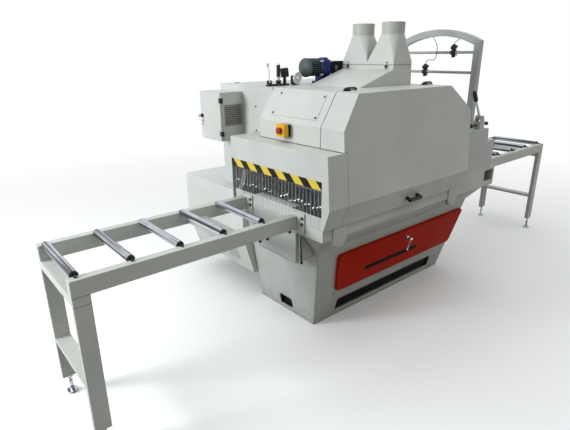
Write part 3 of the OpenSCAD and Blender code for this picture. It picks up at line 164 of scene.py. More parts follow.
def rounded(corners: Points, radius: float) -> np.ndarray:
    """An outline whose corners are parabolic arcs: (1-s)^2 a + 2 s (1-s) p + s^2 b between tangent points.

    Args:
        corners: corner points, anticlockwise.
        radius: rounding of the corners.
    Returns:
        Outline points.
    """
    p = np.asarray(corners, float)
    back = np.roll(p, 1, axis=0) - p
    fore = np.roll(p, -1, axis=0) - p
    back_len = np.linalg.norm(back, axis=1)
    fore_len = np.linalg.norm(fore, axis=1)
    back /= back_len[:, None]
    fore /= fore_len[:, None]
    half = np.arccos(np.clip((back * fore).sum(1), -1, 1)) / 2
    reach = np.minimum(radius / np.tan(half), 0.49 * np.minimum(back_len, fore_len))[:, None, None]
    s = np.linspace(0, 1, CORNER_SPANS + 1)[None, :, None]
    a = p[:, None] + back[:, None] * reach
    b = p[:, None] + fore[:, None] * reach
    return ((1 - s) ** 2 * a + 2 * s * (1 - s) * p[:, None] + s**2 * b).reshape(-1, 2)


def plate(outline: np.ndarray, low: float, high: float, axis: Axis, edge: float) -> Shape:
    """An outline given thickness with rounded rims.

    At angle t of a rim the outline is drawn in by edge (1 - sin t) and stands edge (1 - cos t) up.

    Args:
        outline: points anticlockwise in the plane across the axis.
        low: start along the axis.
        high: end along the axis.
        axis: direction of the thickness.
        edge: radius of the rims.
    Returns:
        The closed shape.
    """
    before = outline - np.roll(outline, 1, axis=0)
    after = np.roll(before, -1, axis=0)
    n1 = np.stack([before[:, 1], -before[:, 0]], 1) / np.linalg.norm(before, axis=1)[:, None]
    n2 = np.stack([after[:, 1], -after[:, 0]], 1) / np.linalg.norm(after, axis=1)[:, None]
    mitre = (n1 + n2) / np.maximum(1 + (n1 * n2).sum(1), 0.3)[:, None]
    t = np.linspace(0, math.pi / 2, RIM_SPANS + 1)
    inset = edge * (1 - np.sin(t))
    rise = edge * (1 - np.cos(t))
    inset = np.concatenate([inset, inset[::-1]])
    height = np.concatenate([low + rise, (high - rise)[::-1]])
    across = outline[None] - inset[:, None, None] * mitre[None]
    along = np.broadcast_to(height[:, None, None], across.shape[:2] + (1,))
    return grid(np.concatenate([across, along], axis=2)[:, :, list(axis.value)], ring=True, caps=True)


def block(low: Vec, high: Vec, corner: float, edge: float, axis: Axis = Axis.Z) -> Shape:
    """A box with rounded corners along one axis and rounded rims across it.

    Args:
        low: lowest corner.
        high: highest corner.
        corner: radius of the corners along the axis.
        edge: radius of the rims.
        axis: direction of the corners.
    Returns:
        The closed shape.
    """
    u, v, w = np.argsort(axis.value)
    outline = rounded([(low[u], low[v]), (high[u], low[v]), (high[u], high[v]), (low[u], high[v])], corner)
    return plate(outline, low[w], high[w], axis, edge)


def square_frame(axis: np.ndarray) -> tuple[np.ndarray, np.ndarray, np.ndarray]:
    """Two unit vectors across an axis and the axis itself, right-handed.

    Args:
        axis: direction of any length.
    Returns:
        The three unit vectors.
    """
    c = np.asarray(axis, float) / np.linalg.norm(axis)
    helper = np.array([0.0, 0.0, 1.0]) if abs(c[2]) < 0.9 else np.array([1.0, 0.0, 0.0])
    a = np.cross(helper, c)
    a /= np.linalg.norm(a)
    return a, np.cross(c, a), c


def revolved(profile: Points, base: Vec, axis: Vec,
             sides: int = 32) -> Shape:
    """A profile of (distance along the axis, radius) turned once round the axis.

    Args:
        profile: pairs in rising order along the axis.
        base: point where the distance is 0.
        axis: direction of the axis.
        sides: points in a turn.
    Returns:
        The closed shape.
    """
    line = np.asarray(profile, float)
    a, b, c = square_frame(np.asarray(axis, float))
    t = np.linspace(0, 2 * math.pi, sides, endpoint=False)
    out = np.cos(t)[:, None] * a + np.sin(t)[:, None] * b
    points = np.asarray(base, float) + line[:, 0, None, None] * c + line[:, 1, None, None] * out[None]
    return grid(points, ring=True, caps=True)


def hoop(section: np.ndarray, radius: float, centre: Vec, axis: Vec, sides: int = 40) -> Shape:
    """A closed section carried once round an axis: each point at radius + u from the axis and v along it.

    Args:
        section: points (u, v), anticlockwise.
        radius: radius of the hoop.
        centre: its centre.
        axis: its axis.
        sides: points in a turn.
    Returns:
        The closed shape.
    """
    a, b, c = square_frame(np.asarray(axis, float))
    t = np.linspace(0, 2 * math.pi, sides, endpoint=False)[:, None, None]
    out = np.cos(t) * a + np.sin(t) * b
    points = np.asarray(centre, float) + (radius + section[None, :, :1]) * out + section[None, :, 1:] * c
    return grid(points[:, ::-1], ring=True, loop=True)


def ball(centre: Vec, radius: float, axis: Vec = (0, 0, 1), length: float = 1.0) -> Shape:
    """A ball, drawn out along an axis: at angle t the radius is r sin t and the height -r length cos t.

    Args:
        centre: its centre.
        radius: its radius across the axis.
        axis: its axis.
        length: how many times as long as wide it is.
    Returns:
        The closed shape.
    """
    t = np.linspace(0.08, math.pi - 0.08, 15)
    return revolved(np.stack([-radius * length * np.cos(t), radius * np.sin(t)], 1), centre, axis, 24)


def socket_screw(place: Vec, way: Vec, radius: float, height: float) -> Shape:
    """A cap screw's head: a rim rounded at the top, with a socket sunk in it.

    Args:
        place: middle of its seat.
        way: direction that it stands up.
        radius: radius of the head.
        height: height of the head.
    Returns:
        The closed shape.
    """
    profile = [(0, radius), (0.7 * height, radius), (0.92 * height, 0.92 * radius), (height, 0.8 * radius),
               (height, 0.5 * radius), (0.5 * height, 0.46 * radius)]
    return revolved(profile, place, way, 16)


def swept(path: np.ndarray, outline: np.ndarray, side: Vec) -> Shape:
    """An outline carried along a path; its first direction stays square to a fixed side vector.

    Args:
        path: points of the path.
        outline: points anticlockwise across the path.
        side: vector that no part of the path runs along.
    Returns:
        The closed shape.
    """
    way = np.gradient(path, axis=0)
    way /= np.linalg.norm(way, axis=1)[:, None]
    a = np.cross(np.asarray(side, float)[None], way)
    a /= np.linalg.norm(a, axis=1)[:, None]
    b = np.cross(way, a)
    points = path[:, None] + outline[None, :, 0, None] * a[:, None] + outline[None, :, 1, None] * b[:, None]
    return grid(points, ring=True, caps=True)


def circle(radius: float, sides: int = 16) -> np.ndarray:
    """Points of a circle round the origin, anticlockwise."""
    t = np.linspace(0, 2 * math.pi, sides, endpoint=False)
    return radius * np.stack([np.cos(t), np.sin(t)], 1)


def smooth_path(points: Points) -> np.ndarray:
    """A curve through points: cubic spans whose slope at a point is half the step between its neighbours.

    Args:
        points: points that the curve passes.
    Returns:
        The dense curve.
    """
    p = np.asarray(points, float)
    q = np.concatenate([2 * p[:1] - p[1:2], p, 2 * p[-1:] - p[-2:-1]])
    s = np.linspace(0, 1, CURVE_SPANS, endpoint=False)[None, :, None]
    a, b, c, d = (q[i:len(q) - 3 + i, None] for i in range(4))
    curve = 0.5 * (2 * b + (c - a) * s + (2 * a - 5 * b + 4 * c - d) * s**2 + (3 * b - a - 3 * c + d) * s**3)
    return np.concatenate([curve.reshape(-1, 3), p[-1:]])


def linked(name: str, data: bpy.types.ID) -> bpy.types.Object:
    """A new object of some data, linked to the scene."""
    piece = bpy.data.objects.new(name, data)
    bpy.context.collection.objects.link(piece)
    return piece


def stood(x: np.ndarray, y: np.ndarray, z: np.ndarray, place: Vec) -> Matrix:
    """The matrix that stands an object at a place with its axes along x, y and z."""
    turn = np.eye(4)
    turn[:3] = np.stack([x, y, z, place], axis=1)
    return Matrix(turn.tolist())


class Graph:
    """Node graph of one finish, read on Object coordinates."""

    def __init__(self, owner: str | bpy.types.World) -> None:
        """Starts on a new material with one Principled shader, or on a world.

        Args:
            owner: name of the material, or the world.
        """
        self.material = bpy.data.materials.new(owner) if isinstance(owner, str) else None
        holder = self.material or owner
        holder.use_nodes = True
        self.tree = holder.node_tree
        self.bsdf = self.tree.nodes.get("Principled BSDF")
        coordinates = self.tree.nodes.new("ShaderNodeTexCoord").outputs
        self.place = coordinates["Object"]
        self.way = coordinates["Generated"]

    def put(self, socket: Socket, value: object) -> None:
        """Links or sets one input.

        Args:
            socket: input of a node.
            value: socket, number or colour.
        """
        if isinstance(value, Socket):
            self.tree.links.new(value, socket)
        elif isinstance(value, tuple) and len(value) == 3 and socket.type == "RGBA":
            socket.default_value = (*value, 1.0)
        else:
            socket.default_value = value

    def add(self, kind: str, settings: dict | None = None, **inputs: object) -> bpy.types.Node:
        """Adds a node.

        Args:
            kind: the node's type.
            settings: its properties.
            inputs: its inputs by name, spaces as underscores.
        Returns:
            The node.
        """
        node = self.tree.nodes.new(kind)
        for key, value in (settings or {}).items():
            setattr(node, key, value)
        for key, value in inputs.items():
            self.put(node.inputs[key.replace("_", " ")], value)
        return node

    def shader(self, **inputs: object) -> None:
        """Sets inputs of the Principled shader by name, spaces as underscores."""
        for key, value in inputs.items():
            self.put(self.bsdf.inputs[key.replace("_", " ")], value)

    def blend(self, share: object, other: Socket) -> None:
        """Mixes a share of another shader into the Principled one."""
        mixer = self.add("ShaderNodeMixShader", Fac=share)
        self.put(mixer.inputs[1], self.bsdf.outputs["BSDF"])
        self.put(mixer.inputs[2], other)
        out = next(n for n in self.tree.nodes if n.type == "OUTPUT_MATERIAL")
        self.put(out.inputs["Surface"], mixer.outputs["Shader"])

    def noise(self, scale: float, detail: float, stretch: Triple = WHITE) -> Socket:
        """Noise on Object coordinates, stretched along the axes, as a value round 0.5."""
        place = self.add("ShaderNodeMapping", Vector=self.place, Scale=stretch).outputs["Vector"]
        return self.add("ShaderNodeTexNoise", Vector=place, Scale=scale, Detail=detail).outputs["Fac"]

    def span(self, value: Socket, low: float, high: float, a: float, b: float) -> Socket:
        """A value between low and high carried to the range from a to b, held at its ends."""
        node = self.add("ShaderNodeMapRange", Value=value)
        for key, number in zip(("From Min", "From Max", "To Min", "To Max"), (low, high, a, b)):
            node.inputs[key].default_value = number
        return node.outputs["Result"]

    def mottle(self, scale: float, detail: float, a: float = 0.0, b: float = 1.0,
               stretch: Triple = WHITE) -> Socket:
        """Noise whose middle part is carried to the range from a to b."""
        return self.span(self.noise(scale, detail, stretch), 0.3, 0.7, a, b)

    def math(self, operation: str, a: object, b: object = 0.0) -> Socket:
        """What an operation makes of two values."""
        node = self.add("ShaderNodeMath", {"operation": operation})
        self.put(node.inputs[0], a)
        self.put(node.inputs[1], b)
        return node.outputs[0]

    def mix(self, share: object, a: object, b: object) -> Socket:
        """Colour a, turning to colour b with the share."""
        node = self.add("ShaderNodeMix", {"data_type": "RGBA"})
        self.put(node.inputs[0], share)
        self.put(node.inputs[6], a)
        self.put(node.inputs[7], b)
        return node.outputs[2]

    def coordinate(self, letter: str) -> Socket:
        """One of the Object coordinates, in metres."""
        return self.add("ShaderNodeSeparateXYZ", Vector=self.place).outputs[letter]

    def soft_edges(self, radius: float) -> Socket:
        """Normals rounded over edges by a radius in millimetres."""
        return self.add("ShaderNodeBevel", {"samples": 6}, Radius=radius * MM).outputs["Normal"]

    def open_air(self, reach: float, alone: bool) -> Socket:
        """The free share of the surroundings within a reach in metres: 0 in a closed place, 1 in the open."""
        settings = {"samples": 6, "only_local": alone}
        return self.add("ShaderNodeAmbientOcclusion", settings, Distance=reach).outputs["AO"]

    def inside(self, low: Triple, high: Triple) -> Socket:
        """1 within a box given by its corners in millimetres, 0 outside it."""
        share: object = 1.0
        for letter, a, b in zip("XYZ", low, high):
            place = self.coordinate(letter)
            above = self.math("GREATER_THAN", place, a * MM)
            below = self.math("LESS_THAN", place, b * MM)
            share = self.math("MULTIPLY", share, self.math("MULTIPLY", above, below))
        return share

    def edge_mask(self, radius: float) -> Socket:
        """A value that rises from 0 on flat ground to 1 on an edge, from how far the rounded normal turns."""
        soft = self.soft_edges(radius)
        flat = self.add("ShaderNodeNewGeometry").outputs["True Normal"]
        node = self.add("ShaderNodeVectorMath", {"operation": "DOT_PRODUCT"})
        self.put(node.inputs[0], soft)
        self.put(node.inputs[1], flat)
        return self.span(node.outputs["Value"], 0.99, 0.8, 0.0, 1.0)

    def bumped(self, height: Socket, strength: float, depth: float,
               normal: Socket | None = None) -> Socket:
        """Normals of a bumpy surface, depth in millimetres, on top of other normals."""
        node = self.add("ShaderNodeBump", Height=height, Strength=strength, Distance=depth * MM)
        if normal is not None:
            self.put(node.inputs["Normal"], normal)
        return node.outputs["Normal"]


@dataclass(frozen=True)
class Coat:
    """What every finish has.

    Attributes:
        name: name of the material.
        colour: main colour.
    """

    name: str
    colour: Colour

    def shade(self, gain: float, lift: float = 0.0) -> Colour:
        """The main colour times a gain plus a lift, held at 1."""
        return tuple(min(1.0, c * gain + lift) for c in self.colour)

    def material(self) -> Material:
        """A new material with the nodes of the finish."""
        g = Graph(self.name)
        self.dress(g)
        return g.material

    def dress(self, g: Graph) -> None:
        """Adds the nodes of one kind of finish."""
        raise NotImplementedError


@dataclass(frozen=True)
class Enamel(Coat):
    """Sprayed paint on sheet steel or castings: cloudy tone, orange peel, thin paint on edges, dust low down,
    painted shade where neighbours close a place in and, if asked, inside the machine.

    Attributes:
        roughness: middle of the roughness.
        round_mm: radius of the edges in the shading, in millimetres.
        peel: strength of the orange peel.
        dust: share of dust at floor level.
        gloss: strength of the reflection.
        worn: share of thin paint on edges.
        dust_top: height in metres where the dust ends.
        reach: distance in metres within which neighbours close a place in and darken it with painted shade.
        interior_shade_share: share of the painted shade of the machine's interior inside the tunnel box.
        alone: True if only the piece itself closes its places in for the painted shade, for pieces behind the
            clear strips.
        tunnel: corners, in millimetres, of a box inside which the colour is darkened as painted shade of the
            machine's unlit interior, or None.
    """

    roughness: float = 0.42
    round_mm: float = 3.0
    peel: float = 0.12
    dust: float = 0.25
    gloss: float = 0.35
    alone: bool = False
    tunnel: tuple[Triple, Triple] | None = None
    worn: float = 0.5
    dust_top: float = 0.5
    reach: float = 0.30
    interior_shade_share: float = 0.93

    def dress(self, g: Graph) -> None:
        """Adds the nodes.

        Args:
            g: graph of the material.
        """
        tone = g.mix(g.mottle(2.6, 5.0), self.shade(0.92), self.shade(1.07))
        edge = g.math("MULTIPLY", g.edge_mask(self.round_mm), self.worn)
        tone = g.mix(edge, tone, self.shade(1.18, 0.012))
        low = g.span(g.coordinate("Z"), 0.0, self.dust_top, self.dust, 0.0)
        grime = g.math("MULTIPLY", low, g.span(g.noise(14.0, 6.0), 0.35, 0.75, 0.2, 1.0))
        tone = g.mix(grime, tone, DUST)
        # painted shade: the colour darkens where neighbouring surfaces close a place in
        closed = g.span(g.open_air(self.reach, self.alone), 0.10, 0.42, 0.85, 0.0)
        tone = g.mix(closed, tone, self.shade(0.12))
        # painted shade: the colour turns near-black inside the tunnel box, the machine's unlit interior
        if self.tunnel is not None:
            tone = g.mix(g.math("MULTIPLY", g.inside(*self.tunnel), self.interior_shade_share), tone, INTERIOR_SHADE)
        smear = g.mottle(9.0, 4.0, self.roughness - 0.07, self.roughness + 0.08, (1.0, 1.0, 0.3))
        normal = g.bumped(g.noise(420.0, 2.0), self.peel, 0.25, g.soft_edges(self.round_mm))
        g.shader(Base_Color=tone, Roughness=smear, Specular_IOR_Level=self.gloss, Normal=normal)


@dataclass(frozen=True)
class Metal(Coat):
    """Plated or turned metal: fine lines round or along it, smears and, if asked, dark streaks on rollers as
    painted reflection.

    Attributes:
        roughness: middle of the roughness.
        lines: how closely the fine lines lie along X, Y and Z.
        depth: depth of the lines in millimetres.
        round_mm: radius of the edges in the shading, in millimetres.
        painted_reflection: how strongly the dark streaks of painted reflection that run across the machine
            stand out, from 0 to 1.
    """

    roughness: float = 0.18
    lines: Triple = (1.0, 40.0, 40.0)
    depth: float = 0.03
    round_mm: float = 0.8
    painted_reflection: float = 0.0

    def dress(self, g: Graph) -> None:
        """Adds the nodes.

        Args:
            g: graph of the material.
        """
        tone = g.mix(g.mottle(20.0, 4.0), self.shade(0.78), self.colour)
        # painted reflection: dark streaks along the rollers stand in for the dark bands that chrome mirrors
        if self.painted_reflection:
            band = g.span(g.noise(75.0, 1.0, (1.0, 0.012, 1.0)), 0.49, 0.55, 0.0, self.painted_reflection)
            tone = g.mix(band, tone, self.shade(0.10))
        film = g.span(g.noise(60.0, 5.0), 0.3, 0.75, self.roughness * 0.7, self.roughness * 1.6)
        normal = g.bumped(g.noise(30.0, 3.0, self.lines), 0.25, self.depth, g.soft_edges(self.round_mm))
        g.shader(Base_Color=tone, Metallic=1.0, Roughness=film, Normal=normal)


@dataclass(frozen=True)
class Plastic(Coat):
    """Moulded plastic or rubber: fine grain, scuffs on edges, a colour that changes at a plane if asked.

    Attributes:
        roughness: middle of the roughness.
        grain: strength of the grain.
        round_mm: radius of the edges in the shading, in millimetres.
        split: letter, place in millimetres and the colour beyond it, or None.
        gloss: strength of the reflection.
        worn: share of scuffs on edges.
    """

    roughness: float = 0.45
    grain: float = 0.25
    round_mm: float = 1.5
    split: tuple[str, float, Colour] | None = None
    gloss: float = 0.2
    worn: float = 0.25

    def dress(self, g: Graph) -> None:
        """Adds the nodes.

        Args:
            g: graph of the material.
        """
        tone = g.mix(g.mottle(35.0, 4.0), self.shade(0.85), self.shade(1.08, 0.004))
        if self.split is not None:
            letter, place, other = self.split
            tone = g.mix(g.math("GREATER_THAN", g.coordinate(letter), place * MM), tone, other)
        edge = g.math("MULTIPLY", g.edge_mask(self.round_mm), self.worn)
        tone = g.mix(edge, tone, self.shade(1.25, 0.03))
        rough = g.mottle(50.0, 3.0, self.roughness - 0.06, self.roughness + 0.08)
        normal = g.bumped(g.noise(1300.0, 2.0), self.grain, 0.12, g.soft_edges(self.round_mm))
        g.shader(Base_Color=tone, Roughness=rough, Specular_IOR_Level=self.gloss, Normal=normal)


@dataclass(frozen=True)
class HazardBand(Coat):
    """Adhesive tape in slanting bands of black and its main colour, yellow.

    Attributes:
        start: place across the machine where a black band begins at the lower edge, in millimetres.
        pitch: width of one black and one yellow band, in millimetres.
        low: height of the lower edge, in millimetres.
        lean: how far a band moves across for each millimetre up.
        black: colour of the black bands.
    """

    start: float
    pitch: float
    low: float
    lean: float = 1.0
    black: Colour = (0.012, 0.012, 0.011)

    def dress(self, g: Graph) -> None:
        """Adds the nodes: the band number is the fraction of (start - y + lean (z - low)) / pitch.

        Args:
            g: graph of the material.
        """
        rise = g.math("MULTIPLY", g.math("SUBTRACT", g.coordinate("Z"), self.low * MM), self.lean)
        run = g.math("ADD", g.math("SUBTRACT", self.start * MM, g.coordinate("Y")), rise)
        band = g.math("FRACT", g.math("DIVIDE", run, self.pitch * MM))
        worn = g.span(g.noise(45.0, 6.0), 0.3, 0.72, 0.0, 0.12)
        yellow = g.mix(worn, self.colour, (0.62, 0.52, 0.22))
        black = g.mix(worn, self.black, (0.05, 0.05, 0.045))
        tone = g.mix(g.span(band, 0.487, 0.493, 0.0, 1.0), black, yellow)
        rough = g.mottle(30.0, 3.0, 0.25, 0.4)
        g.shader(Base_Color=tone, Roughness=rough, Specular_IOR_Level=0.1,
                 Normal=g.bumped(g.noise(160.0, 2.0), 0.1, 0.2))


@dataclass(frozen=True)
class ClearSheet(Coat):
    """Soft clear plastic in strips: see-through, faint upright haze, edges half pale and half grey, grey hems.

    Attributes:
        start: place of the first strip's edge across the machine, in millimetres.
        pitch: width of a strip, in millimetres.
        hem: height of the strips' lower end, in millimetres.
        rim: colour of the cut edges.
        shine: share of the light that the surface mirrors.
        edge_haze: how much less clear an edge is.
    """

    start: float
    pitch: float
    hem: float
    rim: Colour = (0.27, 0.275, 0.27)
    shine: float = 0.034
    edge_haze: float = 0.42

    def dress(self, g: Graph) -> None:
        """Adds the nodes: an edge is where the fraction of (y - start) / pitch nears 0 or 1, or the hem is.

        Args:
            g: graph of the material.
        """
        run = g.math("DIVIDE", g.math("SUBTRACT", g.coordinate("Y"), self.start * MM), self.pitch * MM)
        part = g.math("FRACT", run)
        off = g.math("ABSOLUTE", g.math("SUBTRACT", part, 0.5))
        hem = g.span(g.coordinate("Z"), (self.hem + 2.0) * MM, (self.hem + 5.0) * MM, 1.0, 0.0)
        edge = g.math("MAXIMUM", g.span(off, 0.39, 0.47, 0.0, 1.0), hem)
        grey = g.math("MAXIMUM", g.span(part, 0.45, 0.55, 0.0, 1.0), hem)
        haze = g.span(g.noise(60.0, 3.0, (1.0, 1.0, 0.05)), 0.4, 0.8, 0.015, 0.085)
        normal = g.bumped(g.noise(22.0, 2.0, (1.0, 1.0, 0.4)), 0.1, 2.0)
        g.shader(Base_Color=g.mix(g.math("MULTIPLY", edge, grey), self.colour, self.rim),
                 Roughness=0.4, Specular_IOR_Level=0.1,
                 Alpha=g.math("ADD", haze, g.math("MULTIPLY", edge, self.edge_haze)))
        shine = g.add("ShaderNodeBsdfGlossy", Color=WHITE, Roughness=0.12, Normal=normal)
        g.blend(self.shine, shine.outputs["BSDF"])


class Finish(Enum):
    """Every finish of the saw."""

    # its tunnel box is the machine's interior, darkened as painted shade
    GREY = Enamel("grey_enamel", (0.60, 0.615, 0.585), 0.40, 5.0,
                  tunnel=((-981.0, -596.0, 880.0), (300.0, 202.0, 1228.0)))
    CASTING = Enamel("casting_enamel", (0.545, 0.56, 0.53), 0.46, 9.0, 0.22, alone=True)
    BASE = Enamel("base_enamel", (0.56, 0.575, 0.545), 0.44, 22.0, 0.2, 0.35)
    OUTFEED = Enamel("outfeed_enamel", (0.50, 0.52, 0.50), 0.42, 4.0)
    # the grey darkened as painted shade: the arch stands far from the key light
    ARCH_SHADED = Enamel("arch_painted_shade", (0.48, 0.505, 0.495), 0.42, 4.0)
    RAIL = Enamel("rail_enamel", (0.55, 0.565, 0.53), 0.42, 3.0, 0.15, 0.35)
    FLAP = Enamel("red_enamel", (0.56, 0.024, 0.008), 0.4, 9.0, 0.1, 0.12, 0.02)
    BLUE = Enamel("blue_enamel", (0.012, 0.026, 0.17), 0.38, 3.0, 0.15, 0.0, 0.2)
    REDUCER = Enamel("reducer_enamel", (0.008, 0.009, 0.018), 0.5, 2.0, 0.2, 0.0, 0.2)
    LOUVRE = Enamel("louvre_enamel", (0.30, 0.285, 0.25), 0.5, 1.0, 0.15, 0.0)
    PALE = Enamel("pale_enamel", (0.66, 0.67, 0.64), 0.4, 3.0, alone=True)
    # near-black painted shade for parts deep in the machine
    INNER_SHADE = Enamel("inner_painted_shade", (0.05, 0.051, 0.05), 0.6, 3.0, 0.2, 0.0, 0.1)
    # grey darkened as painted shade for the ports' upright walls
    PORT_SHADE = Enamel("port_painted_shade", (0.50, 0.51, 0.465), 0.5, 2.0, 0.2, 0.0)
    # near-black sheets of painted shade, put in hollows and behind openings where the inside is unlit
    SHADE_BLACK = Enamel("painted_shade_black", (0.018, 0.018, 0.017), 0.8, 1.0, 0.1, 0.0, 0.05)
    SEAM = Enamel("seam_shadow", (0.16, 0.165, 0.155), 0.6, 0.5, 0.1, 0.0, 0.1)
    LID = Enamel("motor_lid_enamel", (0.085, 0.11, 0.115), 0.48, 1.5, 0.2, 0.0, 0.2)
    MOTOR = Enamel("motor_enamel", (0.055, 0.070, 0.076), 0.5, 1.5, 0.2, 0.0, 0.2)
    # the chrome's dark streaks are painted reflection
    CHROME = Metal("chrome_plate", (0.58, 0.61, 0.68), 0.13, (40.0, 1.0, 40.0), 0.012, painted_reflection=0.9)
    STUD = Metal("stud_zinc", (0.80, 0.81, 0.82), 0.25, (1.0, 40.0, 40.0), 0.02)
    STEEL = Metal("turned_steel", (0.52, 0.53, 0.55), 0.32, (40.0, 1.0, 40.0), 0.05)
    DARK_STEEL = Metal("dark_steel", (0.06, 0.06, 0.065), 0.45, (8.0, 8.0, 8.0), 0.05)
    BRASS = Metal("brass_knob", (0.66, 0.58, 0.40), 0.28, (8.0, 8.0, 40.0), 0.02)
    BLACK = Plastic("black_plastic_grain", (0.018, 0.018, 0.019), 0.42)
    CABLE = Plastic("cable_jacket", (0.016, 0.016, 0.018), 0.5, 0.1, 0.3, ("Z", 1772.0, (0.30, 0.36, 0.44)))
    YELLOW = Plastic("yellow_switch", (0.84, 0.44, 0.02), 0.35, 0.2, 1.5,
                     ("X", -884.0, (0.014, 0.014, 0.015)))
    BUTTON = Plastic("red_button", (0.42, 0.035, 0.02), 0.4, 0.2, 1.5)
    RUBBER = Plastic("belt_rubber", (0.02, 0.02, 0.021), 0.75, 0.5)
    CLEAR = ClearSheet("clear_strip", (0.80, 0.83, 0.86), -601.0, 29.81, 830.0)
    CLEAR_RIM = Plastic("clear_strip_rim", (0.62, 0.65, 0.68), 0.2, 0.1, 0.3, gloss=0.5)
    TAPE = HazardBand("hazard_band", (0.76, 0.58, 0.07), 208.0, 135.0, 1051.0)


class Workshop:
    """Makes objects from shapes, gives them their finish and puts them on bodies."""

    def __init__(self) -> None:
        """Starts with no finish built."""
        self.built: dict[Finish, Material] = {}

    def finish(self, finish: Finish) -> Material:
        """The material of a finish, built once."""
        if finish not in self.built:
            self.built[finish] = finish.value.material()
        return self.built[finish]

    def mesh(self, name: str, shape: Shape, finish: Finish,
             crease: float = SMOOTH_DEGREES) -> bpy.types.Object:
        """A shape as an object at the origin.

        Args:
            name: name of the object.
            shape: shape in millimetres.
            finish: its finish.
            crease: angle in degrees over which an edge stays sharp.
        Returns:
            The object.
        """
        mesh = bpy.data.meshes.new(name)
        mesh.from_pydata((shape.points * MM).tolist(), [], shape.quads.tolist() + shape.caps)
        mesh.polygons.foreach_set("use_smooth", np.ones(len(mesh.polygons), dtype=bool))
        mesh.set_sharp_from_angle(angle=math.radians(crease))
        mesh.materials.append(self.finish(finish))
        mesh.update()
        return linked(name, mesh)

    def place(self, name: str, shapes: Shape | Sequence[Shape], finish: Finish, slot: Slot,
              body: str = "frame", stands_for: Sequence[str] = (), crease: float = SMOOTH_DEGREES) -> None:
        """A piece of the saw on one of its bodies.

        Args:
            name: name of the piece.
            shapes: one shape or several.
            finish: its finish.
            slot: the record's slot for it; not used.
            body: body that it rides on.
            stands_for: CAD nodes that it replaces.
            crease: angle in degrees over which an edge stays sharp.
        """
        shape = shapes if isinstance(shapes, Shape) else Shape.joined(shapes)
        piece = self.mesh(name, shape, finish, crease)
        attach(piece, body)
        if stands_for:
            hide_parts(*stands_for)
        LOG.info("%s: %d points on %s", name, len(shape.points), body)

    def paint(self, finish: Finish, *nodes: str) -> None:
        """Gives CAD nodes a finish.

        Args:
            finish: the finish.
            nodes: names of the nodes.
        """
        for node in nodes:
            piece = frame["nodes"][node]
            for place in piece.material_slots:
                place.link = "OBJECT"
                place.material = self.finish(finish)
            LOG.info("%s painted %s", node, finish.name)


@dataclass
class Leads:
    """The lasers' leads, from the arch's underside down to each laser."""

    diameter: float = 5.0
    upper: tuple[Triple, ...] = (
        (646, -322, 1805.7), (646, -321, 1803), (645, -318, 1799), (644, -314, 1796), (643, -309, 1793),
        (642, -304, 1790), (642, -299, 1787), (642, -294, 1784), (643, -290, 1781), (644, -287, 1777),
        (646, -285, 1773), (646, -285, 1768))
    lower: tuple[Triple, ...] = (
        (646, -106, 1823), (646, -110, 1812), (643, -122, 1799), (638, -136, 1786), (631, -149, 1772),
        (625, -158, 1756), (622, -162, 1738), (621, -163, 1720), (621, -162, 1702), (622, -158, 1685),
        (625, -150, 1670), (629, -137, 1661), (634, -121, 1659), (638, -104, 1660), (641, -87, 1660),
        (644, -72, 1656), (646, -63, 1648), (646, -60, 1639), (646, -60, 1631))

    def build(self, shop: Workshop) -> None:
        """Makes both leads.

        Args:
            shop: the workshop.
        """
        for which, route in (("upper", self.upper), ("lower", self.lower)):
            path = smooth_path(route)
            jacket = swept(path, circle(self.diameter / 2, 10), (1.0, 0.2, 0.0))
            lead = shop.mesh(f"{which}_lead", jacket, Finish.CABLE)
            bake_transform(lead)
            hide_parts(f"{which}_laser_cable")


